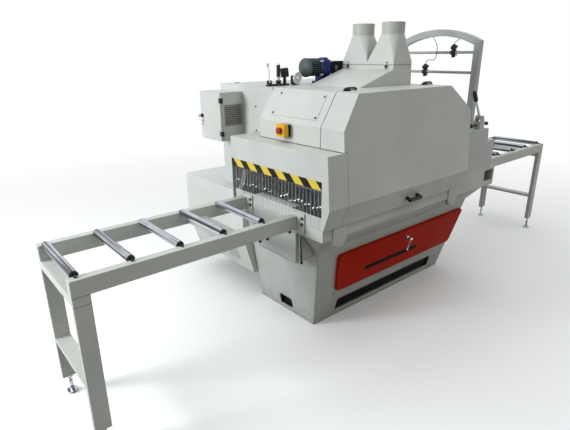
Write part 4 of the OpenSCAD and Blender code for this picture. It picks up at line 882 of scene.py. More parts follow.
@dataclass
class Studio:
    """Camera, floor and lights.

    Attributes:
        eye: camera position in metres.
        yaw: heading from the feed direction towards the far side, in degrees.
        pitch: degrees below the horizon.
        roll: degrees that the image turns.
        focus: focal length in image widths.
        sensor: width of the sensor in millimetres.
        sight: distance in metres that the camera sees.
        floor_half: half the floor's width in metres.
        floor_z: height of the floor in metres.
        fade: distances in metres between which the floor turns white.
        overhead: strength that the room's light gains from the horizon to overhead.
        ambient: strength of the room's light at the horizon.
    """

    eye: Triple = (-2.573, -2.203, 1.710)
    yaw: float = 49.99
    pitch: float = 19.26
    roll: float = 0.46
    focus: float = 460.5 / 570.0
    sensor: float = 36.0
    sight: float = 60.0
    floor_half: float = 14.0
    floor_z: float = -0.001
    fade: Pair = (2.0, 6.0)
    overhead: float = 1.40
    ambient: float = 0.05

    def camera(self) -> None:
        """Sets the camera at the photograph's place and angle."""
        yaw, pitch, roll = (math.radians(v) for v in (self.yaw, self.pitch, self.roll))
        ahead = np.array([math.cos(pitch) * math.cos(yaw), math.cos(pitch) * math.sin(yaw), -math.sin(pitch)])
        right = np.array([math.sin(yaw), -math.cos(yaw), 0.0])
        up = np.cross(right, ahead)
        x = math.cos(roll) * right - math.sin(roll) * up
        y = math.sin(roll) * right + math.cos(roll) * up
        data = bpy.data.cameras.new("photo_camera")
        data.sensor_fit = "HORIZONTAL"
        data.sensor_width = self.sensor
        data.lens = self.sensor * self.focus
        data.clip_end = self.sight
        camera = linked("photo_camera", data)
        camera.matrix_world = stood(x, y, -ahead, self.eye)
        bpy.context.scene.camera = camera

    @staticmethod
    def seen(g: Graph) -> Socket:
        """A value of 1 for rays from the camera, from gloss and through clear pieces."""
        path = g.tree.nodes.new("ShaderNodeLightPath")
        total = g.math("ADD", path.outputs["Is Camera Ray"], path.outputs["Is Glossy Ray"])
        return g.math("MINIMUM", g.math("ADD", total, path.outputs["Is Transmission Ray"]), 1.0)

    def floor(self) -> None:
        """A pale floor with the saw's shadow, fading to white in the distance."""
        edge, z = self.floor_half, self.floor_z
        corners = [(-edge, -edge, z), (edge, -edge, z), (edge, edge, z), (-edge, edge, z)]
        mesh = bpy.data.meshes.new("studio_floor")
        mesh.from_pydata(corners, [], [(0, 1, 2, 3)])
        g = Graph("studio_floor")
        far = g.add("ShaderNodeVectorMath", {"operation": "LENGTH"})
        g.put(far.inputs[0], g.place)
        fade = g.math("MULTIPLY", g.span(far.outputs["Value"], *self.fade, 0.0, 1.0), self.seen(g))
        glow = g.add("ShaderNodeEmission", Color=WHITE, Strength=1.0)
        g.blend(fade, glow.outputs["Emission"])
        pale = g.mix(g.noise(1.5, 2.0), (0.95, 0.95, 0.95), (0.97, 0.97, 0.97))
        g.shader(Base_Color=g.mix(self.seen(g), (0.2, 0.2, 0.19), pale), Roughness=0.9)
        mesh.materials.append(g.material)
        floor = linked("studio_floor", mesh)

    def lights(self) -> None:
        """A large soft key from the infeed side and a weak fill over the door side."""
        lamps = (("key", (-5.4, 1.5, 2.45), (0.0, 0.0, 0.9), 1.6, 195.0, (0.94, 0.975, 1.0)),
                 ("fill", (1.0, -7.5, 4.0), (0.0, 0.0, 0.8), 5.0, 42.0, (1.0, 1.0, 0.92)))
        for name, place, target, size, power, colour in lamps:
            data = bpy.data.lights.new(name, "AREA")
            data.shape = "DISK"
            data.size = size
            data.energy = power
            data.color = colour
            back = np.asarray(place) - np.asarray(target)
            linked(name, data).matrix_world = stood(*square_frame(back), place)

    def surround(self) -> None:
        """A white room to look at that lights the saw more from overhead than from the sides."""
        world = bpy.data.worlds.new("studio")
        g = Graph(world)
        height = g.add("ShaderNodeSeparateXYZ", Vector=g.way).outputs["Z"]
        square = g.math("POWER", g.span(height, 0.0, 1.0, 0.0, 1.0), 2.0)
        light = g.math("ADD", g.math("MULTIPLY", square, self.overhead), self.ambient)
        seen = self.seen(g)
        ground = g.tree.nodes["Background"]
        level = g.math("ADD", g.math("MULTIPLY", light, g.math("SUBTRACT", 1.0, seen)), seen)
        g.put(ground.inputs["Strength"], level)
        tint = g.mix(g.span(height, 0.3, 0.9, 0.0, 1.0), (1.0, 1.0, 0.94), (0.96, 0.99, 1.0))
        g.put(ground.inputs["Color"], g.mix(seen, tint, WHITE))
        bpy.context.scene.world = world
        bpy.context.scene.view_settings.view_transform = "Standard"


@dataclass
class Mouth:
    """The infeed mouth: hazard tape on its rim and clear strips in it, one of them loose."""

    front: float = -985.0
    left: float = 208.0
    right: float = -603.0
    tape_low: float = 1051.0
    tape_high: float = 1096.0
    tape_proud: float = 0.5
    strip_ends: Pair = (-601.0, 204.0)
    strip_top: float = 1062.0
    strip_low: float = 830.0
    short_low: float = 890.0
    brackets: tuple[Pair, ...] = ((-463.0, -359.0), (16.0, 120.0))
    loose: tuple[Triple, ...] = (
        (-979, 78, 1040), (-981, 80, 1012), (-985, 88, 975), (-992, 99, 940), (-1000, 110, 914),
        (-1007, 116, 900), (-1014, 119, 893))
    loose_width: float = 27.0
    loose_bow: float = 2.0
    rim_r: float = 1.3
    strip_x: float = -973.6
    strips: int = 27
    bow: float = 2.7
    lap: float = 1.02
    twist: float = 6.0
    twist_share: Pair = (0.8, 1.1)
    untwist: float = 2.4
    bulge_z: Pair = (934.0, 966.0)
    bulge_share: Pair = (0.7, 1.1)
    bulge_tall: float = 12.0
    bulge_out: float = 8.0
    seed: int = 7

    def tape(self) -> Shape:
        """The tape: a flat grid just proud of the canopy's front.

        Returns:
            The shape.
        """
        across = np.linspace(self.right, self.left, 40)
        y, z = np.meshgrid(across, np.linspace(self.tape_low, self.tape_high, 4))
        return grid(np.stack([np.full_like(y, self.front - self.tape_proud), y, z], axis=2)[:, ::-1])

    def curtain(self) -> list[Shape]:
        """The strips: each bows forward by a cosine across its width and twists, but for one bulge lower down.

        Returns:
            A grid for each strip.
        """
        first, last = self.strip_ends
        width = (last - first) / self.strips
        chance = np.random.default_rng(self.seed)
        u = np.linspace(-0.5, 0.5, 9)[None, :]
        v = np.linspace(0, 1, 64)[:, None]
        shapes = []
        for k in range(self.strips):
            centre = first + (k + 0.5) * width
            over = any(a < centre + 0.6 * width and centre - 0.6 * width < b for a, b in self.brackets)
            low = self.short_low if over else self.strip_low
            z = self.strip_top + (low - self.strip_top) * v + 0 * u
            bulge = np.exp(-((z - chance.uniform(*self.bulge_z)) / self.bulge_tall) ** 2)
            bulge *= chance.uniform(*self.bulge_share)
            angle = math.radians(self.twist * chance.uniform(*self.twist_share)) * (1 - self.untwist * bulge)
            y = centre + u * width * self.lap + 0 * v
            bow = self.bow * np.cos(math.pi * u) + self.bulge_out * bulge
            x = self.strip_x - bow + u * width * np.tan(angle)
            shapes.append(grid(np.stack([x, y, z], axis=2)))
        return shapes

    def loose_strip(self) -> Shape:
        """One strip that rests on the far bracket: its lower half bends outward along a smooth curve."""
        line = smooth_path(self.loose)
        across = np.linspace(-0.5, 0.5, 9)[None]
        x = line[:, :1] - self.loose_bow * np.cos(math.pi * across)
        y = line[:, 1:2] + self.loose_width * across
        return grid(np.stack([x, y, np.broadcast_to(line[:, 2:], x.shape)], axis=2))

    def loose_edges(self) -> list[Shape]:
        """The thick rims of the loose strip: two thin cords along its edges."""
        line = smooth_path(self.loose)
        half = self.loose_width / 2
        return [swept(line + (0, side, 0), circle(self.rim_r, 8), (0, 1, 0)) for side in (-half, half)]

    def build(self, shop: Workshop) -> None:
        """Makes the tape and the strips.

        Args:
            shop: the workshop.
        """
        shop.place("hazard_tape", self.tape(), Finish.TAPE, Slot.YELLOW)
        strips = [*self.curtain(), self.loose_strip()]
        shop.place("clear_strips", strips, Finish.CLEAR, Slot.CLEAR, "strip_curtain", ["strip_curtain"], 60.0)
        shop.place("strip_rims", self.loose_edges(), Finish.CLEAR_RIM, Slot.CLEAR, "strip_curtain")


@dataclass
class FeedDrive:
    """The feed gearmotor on the hood: fan cowl, ribbed motor, studded flange, cover, reducer and foot."""

    y: float = 130.0
    z: float = 1625.0
    ribs: int = 26
    rib_r: float = 50.5
    rib_deep: float = 4.5
    cowl_x: float = -457.0
    cowl_r: float = 60.0
    cowl_long: float = 38.0
    dome: float = 26.0
    collar_r: float = 57.0
    collar_wide: float = 12.0
    motor_x: Pair = (-418.0, -318.0)
    lid_x: Pair = (-412.0, -330.0)
    flange: Pair = (-318.0, -256.0)
    flange_half: float = 60.0
    stud_out: float = 26.0
    stud_r: float = 5.0
    stud_spread: Pair = (48.0, 42.0)
    foot_x: Pair = (-318.0, -120.0)
    foot_z: Pair = (1520.3, 1536.0)
    web_top: float = 1578.0
    reducer_end: float = -97.0
    reducer_z: Pair = (1574.0, 1664.0)
    plate_x: Pair = (-198.0, -170.0)
    plate_z: Pair = (1600.0, 1636.0)

    def motor(self) -> Shape:
        """The ribbed body: the radius follows a flattened cosine round the axis.

        Returns:
            The shape.
        """
        t = np.linspace(0, 2 * math.pi, self.ribs * 8, endpoint=False)
        wave = np.clip(1.6 * np.cos(self.ribs * t), -1, 1)
        outline = (self.rib_r + self.rib_deep * wave)[:, None] * np.stack([np.cos(t), np.sin(t)], 1)
        return plate(outline + (self.y, self.z), *self.motor_x, Axis.X, 1.0)

    def cowl(self) -> Shape:
        """The fan cowl: a dome with a rim, its radius following a quarter of an oval.

        Returns:
            The shape.
        """
        t = np.linspace(0.12, math.pi / 2, 12)
        long, r = self.cowl_long, self.cowl_r
        dome = np.stack([self.dome * (1 - np.cos(t)), r * np.sin(t)], 1)
        profile = np.concatenate([dome, [(long - 2, r), (long, r - 2)]])
        return revolved(profile, (self.cowl_x, self.y, self.z), (1, 0, 0), 48)

    def collar(self, x: float, width: float, radius: float) -> Shape:
        """A plain ring on the motor's axis with rounded rims."""
        profile = [(0, radius - 2), (2, radius), (width - 2, radius), (width, radius - 2)]
        return revolved(profile, (x, self.y, self.z), (1, 0, 0), 48)

    def case(self) -> list[Shape]:
        """The flanged gear block, its raised middle band, the round cover behind it and the foot.

        Returns:
            The shapes.
        """
        y, z, half = self.y, self.z, self.flange_half
        x0, x1 = self.flange
        head = block((x0, y - half, z - 56), (x1, y + half, z + 50), 14, 4, Axis.X)
        band = block((x0 + 18, y - half - 2, z - 40), (x1 - 18, y + half + 2, z + 34), 4, 2, Axis.Y)
        cover = revolved([(0, 34), (3, 38), (52, 38), (55, 34)], (x1 + 6, y - 8, z + 25), (0, 1, 0), 40)
        (a, b), (low, high) = self.foot_x, self.foot_z
        foot = block((a, y - half, low), (b, y + half, high), 8, 2)
        web = block((a + 12, y - 40, high - 6), (b - 14, y + 40, self.web_top), 6, 2)
        return [head, band, cover, foot, web]

    def studs(self) -> list[Shape]:
        """Bolts through the flange's corners, standing out on both sides, each with its nut.

        Returns:
            The shapes.
        """
        x0, x1 = self.flange
        long = x1 - x0 + 2 * self.stud_out
        r = self.stud_r
        profile = [(0, r - 2), (1.5, r), (long - 1.5, r), (long, r - 2)]
        wide, tall = self.stud_spread
        places = [(self.y + a, self.z - 4 + b) for a in (-wide, wide) for b in (-tall, tall)]
        rods = [revolved(profile, (x0 - self.stud_out, y, z), (1, 0, 0), 14) for y, z in places]
        nuts = [revolved([(0, 8.6), (1, 9), (7, 9), (8, 8.4)], (x, y, z), (1, 0, 0), 6)
                for x in (x0 - 8, x1) for y, z in places]
        return rods + nuts

    def build(self, shop: Workshop) -> None:
        """Makes the drive.

        Args:
            shop: the workshop.
        """
        y, z = self.y, self.z
        front, back = self.lid_x
        lid = block((front, y - 40, z + 20), (back, y + 40, z + 58), 6, 3)
        low, high = self.reducer_z
        reducer = block((self.flange[1] - 2, y - 45, low), (self.reducer_end, y + 45, high), 7, 3, Axis.X)
        (a, b), (c, d) = self.plate_x, self.plate_z
        label = block((a, y - 46.5, c), (b, y - 44, d), 2, 0.5, Axis.Y)
        shop.place("feed_motor_ribs", self.motor(), Finish.MOTOR, Slot.SHADE, stands_for=["feed_gearmotor"])
        cowl = [self.cowl(), self.collar(back, self.collar_wide, self.collar_r)]
        shop.place("feed_motor_cowl", cowl, Finish.LID, Slot.SHADE)
        shop.place("feed_motor_lid", lid, Finish.LID, Slot.SHADE)
        shop.place("feed_gear_case", self.case(), Finish.BLUE, Slot.BLUE)
        shop.place("feed_reducer", reducer, Finish.REDUCER, Slot.BLUE)
        shop.place("feed_reducer_plate", label, Finish.LOUVRE, Slot.SHADE)
        shop.place("feed_gear_studs", self.studs(), Finish.STUD, Slot.CHROME)


@dataclass
class LineLaser:
    """One line laser: a split clamp on the bar and a tilted head over it.

    Attributes:
        which: upper or lower.
        y: place along the bar.
        z: height of the bar.
        lean: degrees that the head leans.
    """

    which: str
    y: float
    z: float
    lean: float
    x: float = 646.0
    tilt_up: float = 34.0
    gland_up: float = 45.0

    def build(self, shop: Workshop) -> None:
        """Makes the clamp, the head with its lens and the clamp's screw.

        Args:
            shop: the workshop.
        """
        x, y, z = self.x, self.y, self.z
        laser, middle = f"{self.which}_laser", (x, y, z + self.tilt_up)
        clamp = block((x - 18, y - 17, z - 16), (x + 18, y + 17, z + 16), 6, 2, Axis.Y)
        jaw = block((x - 8, y - 12, z - 34), (x + 8, y + 12, z - 14), 3, 1.5)
        head = block((x - 17, y - 15, z + 17), (x + 17, y + 15, z + 53), 4, 2)
        ring = revolved([(0, 13), (1, 14), (6, 14), (7, 12)], (x - 18, y, z + self.tilt_up), (-1, 0, 0), 24)
        head, ring = (shape.turned(self.lean, "X", middle) for shape in (head, ring))
        gland = revolved([(0, 6), (6, 6), (10, 3.4), (12, 2.8)], (x, y, z + self.gland_up), (0, 0, 1), 16)
        shop.place(f"{laser}_body", [clamp, jaw, head, ring, gland], Finish.BLACK, Slot.BLACK, laser, [laser])
        knob = revolved([(0, 3), (4, 3), (5, 8), (12, 8), (14, 6)], (x, y, z - 16), (0, -1, 0), 20)
        shop.place(f"{laser}_screw", knob.moved((0, -14, 0)), Finish.STEEL, Slot.STEEL, laser)


@dataclass
class Fixings:
    """Screws on the sheet metal, bolts on the table brackets and the knobs under the infeed rail.

    Each head is given by its radius and height.
    """

    bracket_bolts: tuple[Pair, ...] = ((-978, -449), (-978, 30), (874, -449), (874, 30))
    bolt_heights: Pair = (826.0, 860.0)
    cover_rows: tuple[Pair, ...] = ((-838.3, 1384.9), (-770.8, 1490.5))
    cover_ys: Pair = (-398.0, -38.0)
    slope: Triple = (-0.843, 0.0, 0.538)
    wall_x: float = -764.0
    wall_screws: tuple[Pair, ...] = ((234, 1394), (236, 1240))
    roof_z: float = 1520.0
    roof_screws: tuple[Pair, ...] = ((-648, 622), (-636, 606))
    bolt_head: Pair = (8.5, 11.0)
    wall_head: Pair = (5.2, 4.0)
    roof_head: Pair = (6.0, 5.0)
    cover_head: Pair = (5.8, 6.5)
    rail_y: float = -382.0
    rail_z: float = 787.0
    rail_knobs: Triple = (-1219.0, -1168.0, -1012.0)

    def build(self, shop: Workshop) -> None:
        """Makes the screws, bolts and knobs.

        Args:
            shop: the workshop.
        """
        bolts = [socket_screw((x, y, z), (math.copysign(1, x), 0, 0), *self.bolt_head)
                 for x, y in self.bracket_bolts for z in self.bolt_heights]
        wall = [socket_screw((self.wall_x, y, z), (-1, 0, 0), *self.wall_head) for y, z in self.wall_screws]
        roof = [socket_screw((x, y, self.roof_z), (0, 0, 1), *self.roof_head) for x, y in self.roof_screws]
        cover = [socket_screw((x, y, z), self.slope, *self.cover_head)
                 for x, z in self.cover_rows for y in self.cover_ys]
        profile = [(0, 5), (8, 5), (9, 9), (20, 9), (22, 7)]
        knobs = [revolved(profile, (x, self.rail_y, self.rail_z), (0, 0, -1), 16) for x in self.rail_knobs]
        shop.place("bracket_bolts", bolts, Finish.BLACK, Slot.BLACK)
        shop.place("housing_screws", wall + roof + cover, Finish.BLACK, Slot.BLACK)
        shop.place("rail_knobs", knobs, Finish.BLACK, Slot.BLACK)


@dataclass
class Cabinet:
    """Dressing of the electrical cabinet: framed louvres, black hinges, and the lock with its keys."""

    side_y: float = 385.0
    frame: Panel = (-907.0, -776.0, 1267.0, 1400.0)
    bar: float = 7.0
    bar_deep: Pair = (4.0, 0.2)
    slats: int = 10
    slat_lean: float = -20.0
    net_rim: float = 5.0
    hinge_x: Pair = (-945.0, -925.0)
    hinge_y: Pair = (370.0, 397.0)
    hinge_half: float = 16.0
    hinge_heights: Pair = (1217.0, 1430.0)
    cam_x: Pair = (-919.0, -915.0)
    lock: Triple = (-940.0, 610.0, 1318.0)

    def louvres(self) -> list[Shape]:
        """A frame of four bars and slats that lean out at their lower edge.

        Returns:
            The shapes.
        """
        x0, x1, z0, z1 = self.frame
        y0, y1 = (self.side_y - deep for deep in self.bar_deep)
        bar = self.bar
        sides = ((x0, x1, z0, z0 + bar), (x0, x1, z1 - bar, z1),
                 (x0, x0 + bar, z0 + bar, z1 - bar), (x1 - bar, x1, z0 + bar, z1 - bar))
        bars = [block((a, y0, c), (b, y1, d), 1.5, 0.8, Axis.Y) for a, b, c, d in sides]
        pitch = (z1 - z0 - 2 * bar) / self.slats
        heights = z0 + bar + (np.arange(self.slats) + 0.5) * pitch
        leaves = [block((x0 + bar, y1 - 4.5, z - 4.2), (x1 - bar, y1 - 3.5, z + 4.2), 0.5, 0.3, Axis.X)
                  .turned(self.slat_lean, "X", (x0, y1 - 2, z)) for z in heights]
        return bars + leaves

    def backing(self) -> Shape:
        """The dark net behind the slats."""
        x0, x1, z0, z1 = self.frame
        y, rim = self.side_y, self.net_rim
        return block((x0 + rim, y - 1.0, z0 + rim), (x1 - rim, y - 0.1, z1 - rim), 1, 0.3, Axis.Y)

    def keys(self) -> list[Shape]:
        """A key in the lock, a split ring through it and a second key that hangs from the ring.

        Returns:
            The shapes.
        """
        x, y, z = self.lock
        bow = plate(circle(10.0, 20) + (y, z), x - 27, x - 24.5, Axis.X, 0.6)
        bow = bow.turned(90, "Z", (x - 26, y, z))
        shank = block((x - 20, y - 1.2, z - 3.5), (x - 12, y + 1.2, z + 3.5), 1, 0.5)
        ring = hoop(circle(1.0, 8), 11.0, (x - 21, y, z - 16), (0.3, 1, 0.2), 28)
        outline = rounded([(y - 8, z - 40), (y + 8, z - 40), (y + 8, z - 22), (y - 8, z - 22)], 6)
        spare = plate(outline, x - 13, x - 11, Axis.X, 0.5)
        blade = block((x - 13, y - 3, z - 66), (x - 11, y + 3, z - 39), 1, 0.4)
        return [bow, shank, ring, spare, blade]

    def build(self, shop: Workshop) -> None:
        """Makes the louvres, the hinges, the lock and the keys.

        Args:
            shop: the workshop.
        """
        _, y, z = self.lock
        shop.place("cabinet_louvres", self.louvres(), Finish.LOUVRE, Slot.SHADE)
        shop.place("cabinet_louvre_net", self.backing(), Finish.BLACK, Slot.BLACK)
        (a, b), (c, d), half = self.hinge_x, self.hinge_y, self.hinge_half
        hinges = [block((a, c, h - half), (b, d, h + half), 4, 1.5) for h in self.hinge_heights]
        shop.place("cabinet_hinge_caps", hinges, Finish.BLACK, Slot.BLACK, "cabinet_door")
        barrel = revolved([(0, 14), (2, 14), (3, 11), (13, 10.5), (15, 9)], self.lock, (-1, 0, 0), 28)
        cam = block((self.cam_x[0], y - 5, z - 14), (self.cam_x[1], y + 5, z + 5), 2, 1, Axis.X)
        spindle = revolved([(0, 7.5), (25, 7.5)], self.lock, (1, 0, 0), 20)
        works = [barrel, spindle, cam]
        shop.place("cabinet_lock_barrel", works, Finish.BLACK, Slot.BLACK, "cabinet_lock", ["cabinet_lock"])
        shop.place("cabinet_keys", self.keys(), Finish.STUD, Slot.CHROME, "cabinet_lock")


@dataclass
class Controls:
    """Top controls: the grip, the thin lever, the counter on its neck and the handwheel."""

    y: float = 150.0
    top: float = 1520.0
    pin_z: float = 1546.0
    grip_x: float = -643.0
    collar_z: float = 1548.0
    grip_z: float = 1572.0
    grip_r: float = 12.4
    grip_long: float = 74.0
    knob_z: float = 1648.0
    thin_x: float = -717.0
    bends: tuple[Pair, ...] = ((-717, 1562), (-719, 1590), (-721, 1615), (-726, 1634), (-728, 1648))
    foot_x: Pair = (-690.0, -560.0)
    neck_x: float = -592.0
    counter_half: float = 20.0
    counter_z: Pair = (1571.0, 1626.0)
    counter_lean: float = -9.0
    bearing_x: Pair = (-526.0, -492.0)
    bearing_top: float = 1579.0
    arm_r: float = 5.2
    wheel: Triple = (-509.0, 118.0, 1562.0)
    wheel_r: float = 34.6
    rim_r: float = 4.8

    def yoke(self, x: float) -> list[Shape]:
        """Two ears on each side of a pivot, and its pin.

        Args:
            x: place of the pivot.
        Returns:
            The shapes.
        """
        y, low, high = self.y, self.top + 4, self.pin_z + 10
        outline = rounded([(y - 11, low), (y + 11, low), (y + 10, high), (y - 10, high)], 9)
        ears = [plate(outline, x + a, x + b, Axis.X, 1.0) for a, b in ((-13, -8), (8, 13))]
        pin = revolved([(0, 3), (1, 4), (29, 4), (30, 3)], (x - 15, y, self.pin_z), (1, 0, 0), 14)
        return [*ears, pin]

    def hub(self, x: float) -> Shape:
        """The short tube by which a lever turns on its pin."""
        return revolved([(0, 7.5), (13.6, 7.5)], (x - 6.8, self.y, self.pin_z), (1, 0, 0), 20)

    def stand(self) -> list[Shape]:
        """The foot, the thin lever's pad, the neck, the tilted counter, the wheel's bearing and the yokes.

        Returns:
            The shapes.
        """
        x, y, z = self.neck_x, self.y, self.top
        seat = z + 0.2
        foot = block((self.foot_x[0], y - 22, seat), (self.foot_x[1], y + 22, z + 12), 20, 3)
        pad = block((self.thin_x - 20, y - 18, seat), (self.thin_x + 20, y + 18, z + 8), 8, 2)
        neck = revolved([(0, 16), (6, 11), (40, 10), (54, 12)], (x, y, z + 8), (0, 0, 1), 24)
        low, high = self.counter_z
        half = self.counter_half
        case = block((x - half, y - half, low), (x + half, y + half, high), 5, 3)
        counter = case.turned(self.counter_lean, "Y", (x, y, low + 27))
        a, b = self.bearing_x
        bearing = block((a, y - 20, seat), (b, y + 20, self.bearing_top), 8, 2, Axis.Y)
        return [foot, pad, neck, counter, bearing, *self.yoke(self.grip_x), *self.yoke(self.thin_x)]

    def grip(self) -> list[Shape]:
        """The grip: waves round its length, its radius a fixed one plus a small sine.

        Returns:
            The shapes.
        """
        u = np.linspace(0, 1, 40)
        radius = self.grip_r + 0.7 * np.sin(10 * math.pi * u)
        radius[[0, -1]] = 9.0
        profile = np.stack([self.grip_long * u, radius], 1)
        return [self.hub(self.grip_x), revolved(profile, (self.grip_x, self.y, self.grip_z), (0, 0, 1), 24)]

    def build(self, shop: Workshop) -> None:
        """Makes the stand, both levers and the wheel.

        Args:
            shop: the workshop.
        """
        x, y, z = self.wheel
        shop.place("control_stand_body", self.stand(), Finish.BLACK, Slot.BLACK, stands_for=["control_stand"])
        shop.place("crank_grip", self.grip(), Finish.BLACK, Slot.BLACK, "crank_lever", ["crank_lever"])
        profile = [(0, 7), (14, 7), (16, 13), (22, 13.5), (26, 12.6)]
        collar = revolved(profile, (self.grip_x, self.y, self.collar_z), (0, 0, 1))
        shop.place("crank_collar", collar, Finish.PALE, Slot.GREY, "crank_lever")
        knob = ball((self.grip_x, self.y, self.knob_z), 9.5, length=0.8)
        shop.place("crank_knob", knob, Finish.BRASS, Slot.CHROME, "crank_lever")
        path = smooth_path([(a, self.y, b) for a, b in ((self.thin_x, self.pin_z), *self.bends)])
        arm = [swept(path, circle(self.arm_r), (0, 1, 0)), self.hub(self.thin_x)]
        shop.place("clamp_lever_arm", arm, Finish.STUD, Slot.CHROME, "clamp_lever", ["clamp_lever"])
        end_x, end_z = self.bends[-1]
        knob = ball((end_x - 0.5, self.y, end_z), 8.6, (-0.2, 0, 1), 1.35)
        shop.place("clamp_lever_knob", knob, Finish.PALE, Slot.GREY, "clamp_lever")
        rim = hoop(circle(self.rim_r, 14), self.wheel_r, self.wheel, (0, 1, 0), 56)
        disc = revolved([(0, 30.5), (1.5, 31.5), (3, 30.5)], (x, y + 2, z), (0, 1, 0), 48)
        hub = revolved([(0, 6), (2, 10), (10, 10), (12, 7), (52, 6)], (x, y - 5, z), (0, 1, 0), 28)
        shop.place("handwheel_ring", [rim, hub], Finish.STUD, Slot.CHROME, "handwheel", ["handwheel"])
        shop.place("handwheel_disc", disc, Finish.PALE, Slot.CHROME, "handwheel")


@dataclass
class HandLever:
    """The hand lever on the outfeed canopy: hub, tapered rod and rounded grip."""

    pivot: Triple = (608.0, -565.0, 1275.0)
    lean: float = 33.0
    rod: float = 140.0
    hub_r: float = 10.0
    hub_half: float = 15.0
    grip: float = 82.0
    grip_r: float = 9.5
    grip_belly: float = 5.3

    def build(self, shop: Workshop) -> None:
        """Makes the lever.

        Args:
            shop: the workshop.
        """
        way = (-math.sin(math.radians(self.lean)), 0.0, math.cos(math.radians(self.lean)))
        half = self.hub_half
        wall = np.array([(-3.8, -half), (4, -half), (4, half), (-3.8, half)])
        hub = hoop(wall, self.hub_r, self.pivot, (0, 1, 0))
        rod = revolved([(12, 9), (40, 8.6), (self.rod + 4, 6.2)], self.pivot, way, 20)
        u = np.linspace(0, 1, 24)
        radius = self.grip_r + self.grip_belly * np.sin(math.pi * np.clip(0.12 + 0.8 * u, 0, 1)) ** 0.7
        radius[[0, -1]] = 5.0
        grip = revolved(np.stack([self.rod + self.grip * u, radius], 1), self.pivot, way, 24)
        shop.place("hand_lever_rod", [hub, rod], Finish.STEEL, Slot.STEEL, "hand_lever", ["hand_lever"])
        shop.place("hand_lever_grip", grip, Finish.BLACK, Slot.BLACK, "hand_lever")


@dataclass
class Castings:
    """Aprons that run the bed's bosses up to the door, the infeed plate, the dark sheet and the stop rod."""

    boss_xs: Pair = (-845.0, 285.0)
    boss_r: float = 52.0
    boss_z: float = 755.0
    apron_top: float = 826.0
    apron_y: Pair = (-609.6, -598.0)
    plate_low: Triple = (-967.0, -345.0, 893.8)
    plate_high: Triple = (-900.0, 5.0, 895.2)
    sheet_low: Triple = (-964.0, -592.0, 893.8)
    sheet_high: Triple = (-545.0, 198.0, 894.6)
    rod_foot: Triple = (-944.0, -409.0, 570.0)
    rod_rise: float = 180.0
    rod_lean: float = 14.0

    def apron(self, x: float) -> Shape:
        """A plate whose lower end is half a circle round the boss.

        Args:
            x: middle of the boss.
        Returns:
            The shape.
        """
        t = np.linspace(math.pi, 2 * math.pi, 25)
        arc = np.stack([x + self.boss_r * np.cos(t), self.boss_z + self.boss_r * np.sin(t)], 1)
        top = [(x + self.boss_r, self.apron_top), (x - self.boss_r, self.apron_top)]
        outline = np.concatenate([arc, top])
        return plate(outline[::-1][:, ::-1], *self.apron_y, Axis.Y, 1.0)

    def build(self, shop: Workshop) -> None:
        """Makes the aprons, the plate, the sheet and the rod.

        Args:
            shop: the workshop.
        """
        shop.place("bed_aprons", [self.apron(x) for x in self.boss_xs], Finish.CASTING, Slot.GREY)
        shop.place("infeed_plate", block(self.plate_low, self.plate_high, 3, 0.4), Finish.PALE, Slot.GREY)
        sheet = block(self.sheet_low, self.sheet_high, 3, 0.3)
        shop.place("bed_sheet", sheet, Finish.DARK_STEEL, Slot.STEEL)
        way = (0, self.rod_lean / self.rod_rise, 1)
        rod = revolved([(0, 4.0), (self.rod_rise, 4.0)], self.rod_foot, way, 16)
        x, y, z = self.rod_foot
        shop.place("stop_rod", [rod, ball((x, y, z - 2), 8.0)], Finish.BLACK, Slot.BLACK)


@dataclass
class Ducts:
    """Dressing of the dust ducts: the seam over the hood, sleeves of painted shade on the ports' walls, rims
    and joints of the ports, and screws.
    """

    x: Pair = (-159.0, 24.0)
    y: Pair = (-370.0, 52.0)
    seam_z: float = 1643.0
    seam_half: float = 1.2
    seam_out: float = 0.7
    seam_sunk: float = 0.3
    bead_r: float = 1.8
    dot_z: float = 1656.0
    dot_ys: Pair = (0.0, -318.0)
    port_x: float = -70.0
    port_ys: Pair = (-42.0, -283.0)
    port_r: float = 70.0
    port_z: Pair = (1823.0, 1892.0)

    def seam(self) -> list[Shape]:
        """Four thin strips round the duct.

        Returns:
            The shapes.
        """
        (x0, x1), (y0, y1), z = self.x, self.y, self.seam_z
        half, out, sunk = self.seam_half, self.seam_out, self.seam_sunk
        sides = ((x0 - out, x0 + sunk, y0 - out, y1 + out), (x1 - sunk, x1 + out, y0 - out, y1 + out),
                 (x0, x1, y0 - out, y0 + sunk), (x0, x1, y1 - sunk, y1 + out))
        return [block((a, c, z - half), (b, d, z + half), 0.3, 0.3) for a, b, c, d in sides]

    def build(self, shop: Workshop) -> None:
        """Makes the seam, the bands of painted shade, the rims and the screws.

        Args:
            shop: the workshop.
        """
        z0, z1 = self.port_z
        wall = np.array([(0.1, 0.0), (1.0, 0.0), (1.0, z1 - z0 - 1), (0.1, z1 - z0 - 1)])
        bands = [hoop(wall, self.port_r, (self.port_x, y, z0), (0, 0, 1), 64) for y in self.port_ys]
        beads = [hoop(circle(self.bead_r, 10), self.port_r + 0.4, (self.port_x, y, z), (0, 0, 1), 64)
                 for y in self.port_ys for z in (z1 - 1.9, z0 + 1)]
        dots = [socket_screw((self.x[0] + 0.5, y, self.dot_z), (-1, 0, 0), 5.0, 4.0) for y in self.dot_ys]
        shop.place("duct_seam", self.seam(), Finish.SEAM, Slot.SHADE)
        # painted shade: a darker sleeve over each port's upright wall
        shop.place("port_shade_bands", bands, Finish.PORT_SHADE, Slot.GREY)
        shop.place("port_beads", beads, Finish.GREY, Slot.GREY)
        shop.place("duct_screws", dots, Finish.BLACK, Slot.BLACK)


